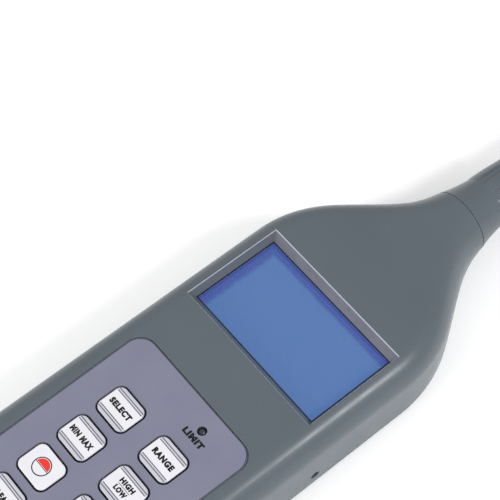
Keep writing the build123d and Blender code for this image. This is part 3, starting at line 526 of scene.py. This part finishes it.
# %% [markdown]
# ## Sleeved cells
# Each cell is a steel can in a shrunk printed sleeve, with bare metal at its ends. The sleeve
# could be its own tube, but it is so thin that a band of colour along the cell is all that
# would show. The cells lie head to tail, shifted by the length of a spring, and the sleeve
# covers the stretch that all four share.

# %% Cell finish
bay_low = min(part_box(f"cell_{number}")[0][1] for number in range(1, 5))
bay_high = max(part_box(f"cell_{number}")[1][1] for number in range(1, 5))
sleeve_margin = 5.5 * mm
label_length = 16.1 * mm
print_step = 0.1 * mm
cell = Finish("cell_sleeve", roughness=0.3)
place_y = cell.axis("Y")
sleeve_low = bay_low + sleeve_margin
sleeve_high = bay_high - sleeve_margin
label_low = bay_high - label_length
past_low = cell.spread(place_y, sleeve_low - print_step, sleeve_low)
past_high = cell.spread(place_y, sleeve_high, sleeve_high + print_step, 1.0, 0.0)
on_sleeve = cell.math("MULTIPLY", past_low, past_high)
band = cell.spread(place_y, label_low, label_low + print_step)
print_tone = cell.blend(cell.grain(3 * mm), shade(44, 48, 58), shade(38, 42, 50))
sleeve = cell.blend(band, print_tone, shade(196, 120, 52))
can = cell.blend(cell.grain(2 * mm), shade(176, 178, 182), shade(150, 152, 156))
cell.colour(cell.blend(on_sleeve, can, sleeve))
cell.feed(cell.shader.inputs["Metallic"], cell.spread(on_sleeve, 0.0, 1.0, 0.9, 0.1))
cell.roughness(cell.spread(cell.grain(1 * mm, 3.0), 0.3, 0.7, 0.24, 0.38))
cell.relief(cell.grain(0.6 * mm, 2.0), 0.008 * mm, strength=0.4)
wear(cell, "cell_1", "cell_2", "cell_3", "cell_4")

# %% [markdown]
# ## Inks
# Legends and lines are screen printed: a dense, slightly glossy layer about a hundredth of a
# millimetre thick. Ink is opaque, so a flat tone with pinholes of a paler tone and a soft
# gloss is enough. The seal's rubber, the foil of the plate and the bench's paint follow here,
# because they are as simple.

# %% Ink finishes
def ink_layer(name, tone, pinhole, roughness=0.4):
    """Opaque printing ink with fine pinholes."""
    finish = Finish(name, roughness=roughness, specular=0.35)
    holes = finish.spread(finish.grain(0.1 * mm, 2.0), 0.64, 0.76, 0.0, 0.5)
    finish.colour(finish.blend(holes, tone, pinhole))
    gloss = finish.grain(1 * mm, 2.0)
    finish.roughness(finish.spread(gloss, 0.3, 0.7, roughness * 0.9, roughness * 1.2))
    finish.relief(finish.grain(0.15 * mm, 1.0), 0.004 * mm, strength=0.4)
    return finish


black_ink = ink_layer("black_ink", shade(10, 10, 13), shade(40, 40, 48))
red_ink = ink_layer("red_ink", shade(236, 52, 44), shade(240, 110, 100))
line_ink = ink_layer("dark_line_ink", shade(58, 58, 72), shade(96, 96, 112))
rubber = plain_moulding("black_rubber", shade(20, 20, 22), shade(30, 30, 32), 0.75, 0.25 * mm)
foil = ink_layer("silver_foil", shade(172, 175, 178), shade(150, 153, 156), 0.35)

bench_paint = Finish("bench_paint", roughness=0.8, specular=0.1)
bench_drift = bench_paint.grain(80 * mm)
bench_paint.colour(bench_paint.blend(bench_drift, (0.92, 0.92, 0.92, 1.0), (0.9, 0.9, 0.9, 1.0)))
bench_paint.feed(bench_paint.shader.inputs["Emission Color"], (1.0, 1.0, 1.0, 1.0))
bench_paint.shader.inputs["Emission Strength"].default_value = 0.24
bench_paint.relief(bench_paint.grain(2 * mm), 0.02 * mm, strength=0.2)
floor.data.materials.append(bench_paint.material)

# %% [markdown]
# ## Working in edit mode
# New pieces start as a primitive of the right size at the right place and are shaped in edit
# mode, as by hand. Everything is deselected first, because an operator acts on all that is
# selected. A finished piece sits at the origin with its place in its mesh, rides on a body
# of the meter and takes its finish in a material slot.

# %% Helpers for new pieces
ink_thickness = 0.012 * mm


def start():
    """Nothing selected and nothing in edit mode."""
    if bpy.context.object and bpy.context.object.mode == "EDIT":
        bpy.ops.object.mode_set(mode="OBJECT")
    bpy.ops.object.select_all(action="DESELECT")


def settle(piece, name, finish, body, smooth=30.0):
    """Normals outwards, place in the mesh, a finish, a body and a slot."""
    start()
    piece.select_set(True)
    bpy.context.view_layer.objects.active = piece
    bpy.ops.object.transform_apply(location=True, rotation=True, scale=True)
    bpy.ops.object.mode_set(mode="EDIT")
    bpy.ops.mesh.select_all(action="SELECT")
    bpy.ops.mesh.remove_doubles(threshold=0.0005 * mm)
    bpy.ops.mesh.normals_make_consistent(inside=False)
    bpy.ops.object.mode_set(mode="OBJECT")
    bpy.ops.object.shade_smooth_by_angle(angle=radians(smooth))
    piece.name = name
    piece.data.name = name
    piece.data.materials.clear()
    piece.data.materials.append(finish.material)
    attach(piece, body)
    size = [round(side / mm, 2) for side in piece.dimensions]
    print(name, "measures", size, "mm and rides on", body)


def copy_of(piece):
    """A copy with its own mesh."""
    twin = piece.copy()
    twin.data = piece.data.copy()
    scene.collection.objects.link(twin)
    return twin


# %% [markdown]
# ## Printed frames
# The film has a dark line just inside its cut edge, and a thin black ring round each key. Both
# are flat rounded frames. A plane is drawn to size, its corners are bevelled round, an inset
# gives the width of the line, the middle is deleted and the rest is raised by the thickness
# of ink. Drawing the ring as a bevelled curve would give a round wire instead of a flat line.

# %% Rounded frame
def rounded_frame(place, width, length, corner, line, thickness, narrow=0.0):
    """A flat frame of outer size width by length on a place, its -Y side shorter by narrow."""
    start()
    bpy.ops.mesh.primitive_plane_add(size=1.0, location=place)
    piece = bpy.context.object
    bpy.ops.object.transform_apply(location=True, rotation=True, scale=True)
    bpy.ops.object.mode_set(mode="EDIT")
    bpy.ops.transform.resize(value=(width, length, 1.0), center_override=place)
    if narrow:
        bpy.ops.mesh.select_all(action="DESELECT")
        bpy.ops.object.mode_set(mode="OBJECT")
        for vertex in piece.data.vertices:
            vertex.select = vertex.co.y < place[1]
        bpy.ops.object.mode_set(mode="EDIT")
        shrink = (width - narrow) / width
        bpy.ops.transform.resize(value=(shrink, 1.0, 1.0), center_override=place)
        bpy.ops.mesh.select_all(action="SELECT")
    bpy.ops.mesh.bevel(offset=corner, segments=8, affect="VERTICES")
    bpy.ops.mesh.select_all(action="SELECT")
    bpy.ops.mesh.inset(thickness=line, use_even_offset=True)
    bpy.ops.mesh.delete(type="FACE")
    bpy.ops.mesh.select_all(action="SELECT")
    bpy.ops.mesh.extrude_region_move(TRANSFORM_OT_translate={"value": (0, 0, thickness)})
    bpy.ops.object.mode_set(mode="OBJECT")
    return piece


film_size = span("keypad_overlay")
film_middle = middle("keypad_overlay")
film_corner = 5.3 * mm
film_taper = 1.4 * mm
film_line_width = 0.26 * mm
edge_gap = 0.02 * mm
film_line = rounded_frame(
    (film_middle.x, film_middle.y, film_top),
    film_size.x - 2 * edge_gap,
    film_size.y - 2 * edge_gap,
    film_corner - edge_gap,
    film_line_width,
    ink_thickness,
    narrow=film_taper,
)
settle(film_line, "film_line", line_ink, "housing")

# %% [markdown]
# ## Rings round the keys
# The ring is drawn once, round the first key, and copied to the others. Each copy has its own
# mesh and is moved to its key. The move is then applied, because a finished piece sits at the
# origin and keeps its place in its mesh.

# %% One ring for each key
key_width = 10.9 * mm
key_length = 9.15 * mm
key_corner = 2.0 * mm
key_gap = 0.45 * mm
bare_rim = 0.01 * mm
ring_line = 0.11 * mm
ring_reach = key_gap + bare_rim + ring_line
first_middle = middle(key_names[0])
ring_place = (first_middle.x, first_middle.y, film_top)
ring = rounded_frame(
    ring_place,
    key_width + 2 * ring_reach,
    key_length + 2 * ring_reach,
    key_corner + ring_reach,
    ring_line,
    ink_thickness,
)
rings = [ring] + [copy_of(ring) for _ in key_names[1:]]
for key_name, one_ring in zip(key_names, rings):
    start()
    one_ring.select_set(True)
    bpy.context.view_layer.objects.active = one_ring
    one_ring.location = middle(key_name) - first_middle
    settle(one_ring, f"ring_{key_name}", black_ink, "housing")

# %% [markdown]
# ## Legends
# The lettering is generic: the plain functions that such a meter has. Each legend starts as a
# text object, a little heavier than the font's own weight, is turned into a mesh, fitted to
# its length and cap height, and laid on its key, so that it goes down with the key. Printing
# it by a texture would blur up close and would not move with the key in the exported model.

# %% Lettering
boldness = 0.07
letter_spacing = 1.16
curve_steps = 3


def lettering(words, place, length, cap, thickness=ink_thickness):
    """A line of bold condensed capitals centred at place, as a thin solid."""
    start()
    bpy.ops.object.text_add(location=(0, 0, 0))
    text = bpy.context.object
    text.data.body = words
    text.data.size = 1.0
    text.data.resolution_u = curve_steps
    text.data.offset = boldness
    text.data.space_character = letter_spacing
    text.data.extrude = 0.5
    bpy.ops.object.convert(target="MESH")
    piece = bpy.context.object
    sides = piece.dimensions
    corners = [Vector(corner) for corner in piece.bound_box]
    centre = sum(corners, Vector()) / 8
    bpy.ops.object.mode_set(mode="EDIT")
    bpy.ops.mesh.select_all(action="SELECT")
    bpy.ops.transform.translate(value=-centre)
    fit = (length / sides.x, cap / sides.y, thickness / sides.z)
    bpy.ops.transform.resize(value=fit, center_override=(0, 0, 0))
    bpy.ops.transform.translate(value=Vector(place) + Vector((0, 0, thickness / 2)))
    bpy.ops.object.mode_set(mode="OBJECT")
    return piece


key_words = {
    "key_function": ("SELECT", 8.2 * mm),
    "key_range": ("RANGE", 7.8 * mm),
    "key_max": ("MIN MAX", 8.6 * mm),
    "key_light": ("LIGHT", 6.4 * mm),
    "key_store": ("CLEAR", 6.8 * mm),
    "key_recall": ("STORE", 6.8 * mm),
}
cap_height = 1.85 * mm
for key_name, (words, length) in key_words.items():
    spot = middle(key_name)
    legend = lettering(words, (spot.x, spot.y, key_top), length, cap_height)
    settle(legend, f"legend_{key_name}", black_ink, key_name)

# %% [markdown]
# ## The two-line key and the lamp's label
# One key switches between two speeds, so it carries two short words, one for each. The lamp's
# label is printed on the film below the lamp, in the same black ink as the legends.

# %% Two words and the lamp's label
speed = middle("key_speed")
line_step = 1.2 * mm
small_cap = 1.6 * mm
for words, sign, length in (("HIGH", 1, 5.2 * mm), ("LOW", -1, 4.4 * mm)):
    spot = (speed.x, speed.y + sign * line_step, key_top)
    legend = lettering(words, spot, length, small_cap)
    settle(legend, f"legend_speed_{words.lower()}", black_ink, "key_speed")

lamp = middle("alarm_led")
label_shift = 0.2 * mm
label_drop = 3.0 * mm
label_width = 7.6 * mm
label_cap = 1.9 * mm
label_place = (lamp.x + label_shift, lamp.y - label_drop, film_top)
label = lettering("LIMIT", label_place, label_width, label_cap)
settle(label, "lamp_label", black_ink, "housing")

# %% [markdown]
# ## The power key's mark
# The power key has no grooves. A thin ring stands on it, cut across by a line parallel to its
# rows, and the half towards the microphone is red. The ring is a disc with an inset face
# taken out. The red half is a smaller disc cut by a bisect plane that keeps one side.

# %% Ring and red half
power = middle("key_power")
mark_radius = 2.7 * mm
mark_line = 0.3 * mm
red_radius = mark_radius - 1.6 * mark_line
red_gap = 0.2 * mm
mark_segments = 64


def flat_disc(place, radius, thickness, hole=0.0, cut_y=None):
    """A thin disc on a place, with a hole, or cut along X so that its +Y side is kept."""
    start()
    bpy.ops.mesh.primitive_circle_add(
        vertices=mark_segments, radius=radius, fill_type="NGON", location=place
    )
    piece = bpy.context.object
    bpy.ops.object.mode_set(mode="EDIT")
    bpy.ops.mesh.select_all(action="SELECT")
    if hole:
        bpy.ops.mesh.inset(thickness=radius - hole)
        bpy.ops.mesh.delete(type="FACE")
        bpy.ops.mesh.select_all(action="SELECT")
    if cut_y is not None:
        cut_place = (place[0], cut_y, place[2])
        bpy.ops.mesh.bisect(plane_co=cut_place, plane_no=(0, 1, 0), clear_inner=True)
        bpy.ops.mesh.select_all(action="SELECT")
    bpy.ops.mesh.extrude_region_move(TRANSFORM_OT_translate={"value": (0, 0, thickness)})
    bpy.ops.object.mode_set(mode="OBJECT")
    return piece


mark_place = (power.x, power.y, key_top)
mark_ring = flat_disc(mark_place, mark_radius, ink_thickness, hole=mark_radius - mark_line)
settle(mark_ring, "power_ring", black_ink, "key_power")
red_half = flat_disc(mark_place, red_radius, ink_thickness, cut_y=power.y + red_gap)
settle(red_half, "power_red_half", red_ink, "key_power")

# %% [markdown]
# ## Two fine rules
# The line across the power key's ring and the rule between the two words are short printed
# lines with round corners. Each is a plane, resized, bevelled at its corners and raised. The
# same helper makes the plate on the back later, hung under its place by a negative thickness.

# %% Rules across the mark and between the words
def rounded_plate(place, width, length, corner, thickness, segments=4):
    """A thin plate with round corners, raised from a place by its thickness."""
    start()
    bpy.ops.mesh.primitive_plane_add(size=1.0, location=place)
    piece = bpy.context.object
    bpy.ops.object.mode_set(mode="EDIT")
    bpy.ops.transform.resize(value=(width, length, 1.0), center_override=place)
    bpy.ops.mesh.bevel(offset=corner, segments=segments, affect="VERTICES")
    bpy.ops.mesh.select_all(action="SELECT")
    bpy.ops.mesh.extrude_region_move(TRANSFORM_OT_translate={"value": (0, 0, thickness)})
    bpy.ops.object.mode_set(mode="OBJECT")
    return piece


bar_length = 2 * (mark_radius - mark_line)
bar_line = 0.2 * mm
bar_corner = 0.04 * mm
rule_length = 4.6 * mm
rule_line = 0.14 * mm
rule_corner = 0.03 * mm
rule_place = (speed.x, speed.y, key_top)
mark_bar = rounded_plate(mark_place, bar_length, bar_line, bar_corner, ink_thickness)
settle(mark_bar, "power_line", black_ink, "key_power")
speed_rule = rounded_plate(rule_place, rule_length, rule_line, rule_corner, ink_thickness)
settle(speed_rule, "speed_rule", black_ink, "key_speed")

# %% [markdown]
# ## The display's surround
# A thin coloured gasket lines the opening under the window: a flat flange on the ledge and a
# skirt down its inner wall. It wears the glass's glowing finish, so it gives off a painted glow
# with the same painted shade on its left and upper sides, which is why the display seems to fill
# the recess right up to the wall. A frame is drawn for the flange, its inner edge is found by
# place and extruded down for the skirt, and Solidify gives it a wall.

# %% Flange and skirt
glass_high_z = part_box("lcd_glass")[1][2]
ledge = 0.8 * mm
ledge_top = window_low[2]
gasket_wall = 0.05 * mm
window_gap = 0.15 * mm
glass_gap = 0.03 * mm
window_mid = middle("lcd_window")
opening_x = window_high[0] + window_gap - ledge - gasket_wall
opening_y = window_high[1] - window_mid.y + window_gap - ledge - gasket_wall
flange_place = (window_mid.x, window_mid.y, ledge_top)
start()
bpy.ops.mesh.primitive_plane_add(size=1.0, location=flange_place)
gasket = bpy.context.object
bpy.ops.object.mode_set(mode="EDIT")
flange_size = (2 * (opening_x + ledge), 2 * (opening_y + ledge), 1.0)
bpy.ops.transform.resize(value=flange_size, center_override=flange_place)
bpy.ops.mesh.inset(thickness=ledge, use_even_offset=True)
bpy.ops.mesh.delete(type="ONLY_FACE")
bpy.ops.object.mode_set(mode="OBJECT")
# only the inner edge lies within half a ledge of the opening
inner_limit = opening_x + 0.5 * ledge
for vertex in gasket.data.vertices:
    vertex.select = abs((gasket.matrix_world @ vertex.co).x - window_mid.x) < inner_limit
bpy.ops.object.mode_set(mode="EDIT")
skirt_drop = ledge_top - glass_high_z - glass_gap
bpy.ops.mesh.extrude_edges_move(TRANSFORM_OT_translate={"value": (0, 0, -skirt_drop)})
bpy.ops.mesh.select_all(action="SELECT")
bpy.ops.mesh.normals_make_consistent(inside=False)
bpy.ops.object.mode_set(mode="OBJECT")
wall = gasket.modifiers.new("wall", "SOLIDIFY")
wall.thickness = gasket_wall
wall.offset = 0.0
bpy.ops.object.modifier_apply(modifier="wall")
# the gasket is no lamp but wears the display's painted glow and painted shade
settle(gasket, "display_gasket", glass, "housing")
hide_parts("window_tape")

# %% [markdown]
# ## The recess liner
# The sloping walls round the display are covered by a thin liner that carries painted light:
# its walls are painted paler than the shell and its rim carries a painted highlight, so they
# stand out from the shell. A plane of the outer size is inset, the inner face is drawn to the
# window's size and pushed down to it, and what is left is a four-sided funnel. It is given a
# wall by Solidify, towards the inside, and its thin upper edge carries the painted highlight.

# %% Funnel
film_seat = 0.1 * mm
face_z = film_top + film_seat
recess_half = Vector((25.6 * mm, 15.675 * mm, 0.0))
window_half = Vector((24.35 * mm, 13.775 * mm, 0.0))
liner_wall = 0.06 * mm
liner_inset = recess_half.x - window_half.x
funnel_place = (window_mid.x, window_mid.y, face_z)
start()
bpy.ops.mesh.primitive_plane_add(size=1.0, location=funnel_place)
liner = bpy.context.object
bpy.ops.object.mode_set(mode="EDIT")
funnel_size = (2 * recess_half.x, 2 * recess_half.y, 1.0)
bpy.ops.transform.resize(value=funnel_size, center_override=funnel_place)
bpy.ops.mesh.inset(thickness=liner_inset, use_even_offset=True)
draw_in = window_half.y / (recess_half.y - liner_inset)
bpy.ops.transform.resize(value=(1.0, draw_in, 1.0), center_override=funnel_place)
bpy.ops.transform.translate(value=(0.0, 0.0, window_high[2] - face_z))
bpy.ops.mesh.delete(type="ONLY_FACE")
bpy.ops.object.mode_set(mode="OBJECT")
thick = liner.modifiers.new("wall", "SOLIDIFY")
thick.thickness = liner_wall
thick.offset = 1.0
bpy.ops.object.modifier_apply(modifier="wall")

# %% [markdown]
# ## The liner's painted light
# The wall nearest the microphone is painted palest, the left one about half as much, and the
# other two stay as dark as the shell: painted light that follows the way a wall faces. The way
# a wall faces picks its tone: the dot product of its normal with one direction is high on the
# pale walls. The painted highlight on the rim is found by its height.

# %% Painted light on the liner, and window border
rim_start = 0.34 * mm
rim_full = 0.20 * mm
trim = Finish("recess_painted_light", roughness=0.3, specular=0.5)
trim_tone = trim.spread(trim.grain(9 * mm, 3.0), 0.3, 0.7)
painted_light_base = trim.blend(trim_tone, shade(114, 115, 125), shade(107, 109, 118))
facing = trim.add("ShaderNodeVectorMath", operation="DOT_PRODUCT")
trim.feed(facing.inputs[0], trim.add("ShaderNodeNewGeometry").outputs["Normal"])
facing.inputs[1].default_value = (0.42, -0.91, 0.0)
towards = facing.outputs["Value"]
# painted light: walls that face along this direction are painted paler
painted_lit_walls = trim.spread(towards, 0.0, 0.75)
walls_painted_light = trim.blend(painted_lit_walls, shade(92, 101, 106), painted_light_base)
# painted highlight: the liner's upper rim is painted near white
rim_highlight_height = trim.spread(trim.axis("Z"), face_z - rim_start, face_z - rim_full)
rim_highlight = trim.math("MULTIPLY", rim_highlight_height, trim.spread(towards, 0.1, 0.3, 0.0, 0.85))
trim.colour(trim.blend(rim_highlight, walls_painted_light, shade(206, 207, 215)))
trim.roughness(trim.spread(trim.grain(3 * mm, 3.0), 0.3, 0.7, 0.24, 0.36))
trim.relief(trim.grain(0.2 * mm, 2.0), 0.008 * mm, strength=0.5, corner=0.12 * mm)
settle(liner, "recess_liner", trim, "housing")

border_line = 0.3 * mm
border_corner = 0.4 * mm
window_line = rounded_frame(
    (window_mid.x, window_mid.y, window_high[2]),
    2 * window_half.x - 2 * liner_wall,
    2 * window_half.y - 2 * liner_wall,
    border_corner,
    border_line,
    ink_thickness,
)
settle(window_line, "window_line", black_ink, "housing")

# %% [markdown]
# ## Turned rings
# The tripod insert has a thread, the socket a plated sleeve, and a black ring seals the
# microphone where it leaves the collar. All are round, so each is one small profile spun
# about its axis. A screw modifier would cut a true helix, but at this size a stack of ridges
# looks the same and closes cleanly.

# %% Spin a profile about an axis
def spun(points, centre, axis, steps=64):
    """A ring from a closed profile of (distance from axis, place along it)."""
    start()
    out = Vector((1, 0, 0)) if abs(axis[0]) < 0.5 else Vector((0, 1, 0))
    along = Vector(axis)
    bpy.ops.mesh.primitive_circle_add(vertices=len(points), radius=mm, location=(0, 0, 0))
    piece = bpy.context.object
    for vertex, (reach, advance) in zip(piece.data.vertices, points):
        vertex.co = Vector(centre) + out * reach + along * advance
    bpy.ops.object.mode_set(mode="EDIT")
    bpy.ops.mesh.select_all(action="SELECT")
    bpy.ops.mesh.spin(steps=steps, angle=2 * pi, center=centre, axis=axis)
    bpy.ops.mesh.select_all(action="SELECT")
    bpy.ops.mesh.remove_doubles(threshold=0.001 * mm)
    bpy.ops.object.mode_set(mode="OBJECT")
    return piece


insert_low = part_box("tripod_insert")[0]
insert_middle = middle("tripod_insert")
bore_radius = 3.175 * mm
thread_pitch = 1.27 * mm
thread_depth = 0.55 * mm
thread_count = 5
first_ridge = 0.9
root_sink = 0.05 * mm
root_half = 0.5 * thread_pitch - 0.05 * mm
crest_half = 0.08 * mm
ridges = []
for index in range(thread_count):
    ridge_z = insert_low[2] + (index + first_ridge) * thread_pitch
    ridge = spun(
        [
            (bore_radius + root_sink, -root_half),
            (bore_radius - thread_depth, -crest_half),
            (bore_radius - thread_depth, crest_half),
            (bore_radius + root_sink, root_half),
        ],
        (insert_middle.x, insert_middle.y, ridge_z),
        (0, 0, 1),
    )
    ridges.append(ridge)
start()
for ridge in ridges:
    ridge.select_set(True)
bpy.context.view_layer.objects.active = ridges[0]
bpy.ops.object.join()
settle(ridges[0], "tripod_thread", brass, "housing")

# %% [markdown]
# The sleeve of the socket and the seal of the microphone follow the same way. The sleeve stays
# outside the bore that a plug enters, and the seal closes the gap between tube and collar.

# %% Socket sleeve and microphone seal
jack_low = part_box("output_jack")[0]
jack_bore = 1.8 * mm
jack_z = 11.9 * mm
jack_y = middle("output_jack").y
sleeve_inner = jack_bore + 0.02 * mm
sleeve_outer = jack_bore + 0.45 * mm
sleeve_foot = -0.02 * mm
sleeve_lip = -0.10 * mm
inner_slope = 0.08 * mm
outer_slope = 0.07 * mm
sleeve_ring = spun(
    [
        (sleeve_inner, sleeve_foot),
        (sleeve_outer, sleeve_foot),
        (sleeve_outer - outer_slope, sleeve_lip),
        (sleeve_inner + inner_slope, sleeve_lip),
    ],
    (jack_low[0], jack_y, jack_z),
    (1, 0, 0),
)
settle(sleeve_ring, "socket_sleeve", nickel, "housing")

collar_mouth_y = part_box("nose_collar")[1][1]
tube_radius = 6.35 * mm
seal_steps = 12
seal_radius = 0.36 * mm
seal_profile = []
for index in range(seal_steps):
    angle = 2 * pi * index / seal_steps
    reach = tube_radius + seal_radius + seal_radius * cos(angle)
    seal_profile.append((reach, seal_radius * sin(angle)))
seal = spun(seal_profile, (0, collar_mouth_y + 0.5 * seal_radius, tube_axis_z), (0, 1, 0))
settle(seal, "microphone_seal", rubber, "housing", smooth=60.0)

# %% [markdown]
# ## Marks on the back
# The back carries a plain silver plate with a fine border, where a maker's data would be, and
# an arrow on the battery door that shows which way it slides. Both are left free of words.

# %% Blank plate and door arrow
back_z = 0.0
plate_above_insert = 27.0 * mm
plate_width = 36.0 * mm
plate_length = 24.0 * mm
plate_corner = 1.5 * mm
plate_thickness = 0.01 * mm
border_inset = 1.0 * mm
border_round = 1.0 * mm
plate_line = 0.25 * mm
plate_ink = 0.003 * mm
plate_place = (0.0, insert_middle.y + plate_above_insert, back_z)
plate = rounded_plate(plate_place, plate_width, plate_length, plate_corner, -plate_thickness, segments=6)
settle(plate, "blank_plate", foil, "housing")
border = rounded_frame(
    (plate_place[0], plate_place[1], back_z - plate_thickness),
    plate_width - 2 * border_inset,
    plate_length - 2 * border_inset,
    border_round,
    plate_line,
    -plate_ink,
)
settle(border, "plate_border", line_ink, "housing")

arrow_above_end = 30.0 * mm
arrow_radius = 3.2 * mm
arrow_corner = 0.3 * mm
arrow_place = (0.0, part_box("battery_door")[0][1] + arrow_above_end, back_z)
start()
bpy.ops.mesh.primitive_circle_add(
    vertices=3, radius=arrow_radius, fill_type="NGON", location=arrow_place
)
arrow = bpy.context.object
bpy.ops.object.mode_set(mode="EDIT")
# the circle's point looks along +Y, and the door slides towards -Y
bpy.ops.transform.resize(value=(1.0, -1.0, 1.0), center_override=arrow_place)
bpy.ops.mesh.bevel(offset=arrow_corner, segments=3, affect="VERTICES")
bpy.ops.mesh.select_all(action="SELECT")
bpy.ops.mesh.extrude_region_move(TRANSFORM_OT_translate={"value": (0, 0, -plate_thickness)})
bpy.ops.object.mode_set(mode="OBJECT")
settle(arrow, "door_arrow", foil, "battery_door")

# %% [markdown]
# ## Last step

# %% Leave nothing selected
start()
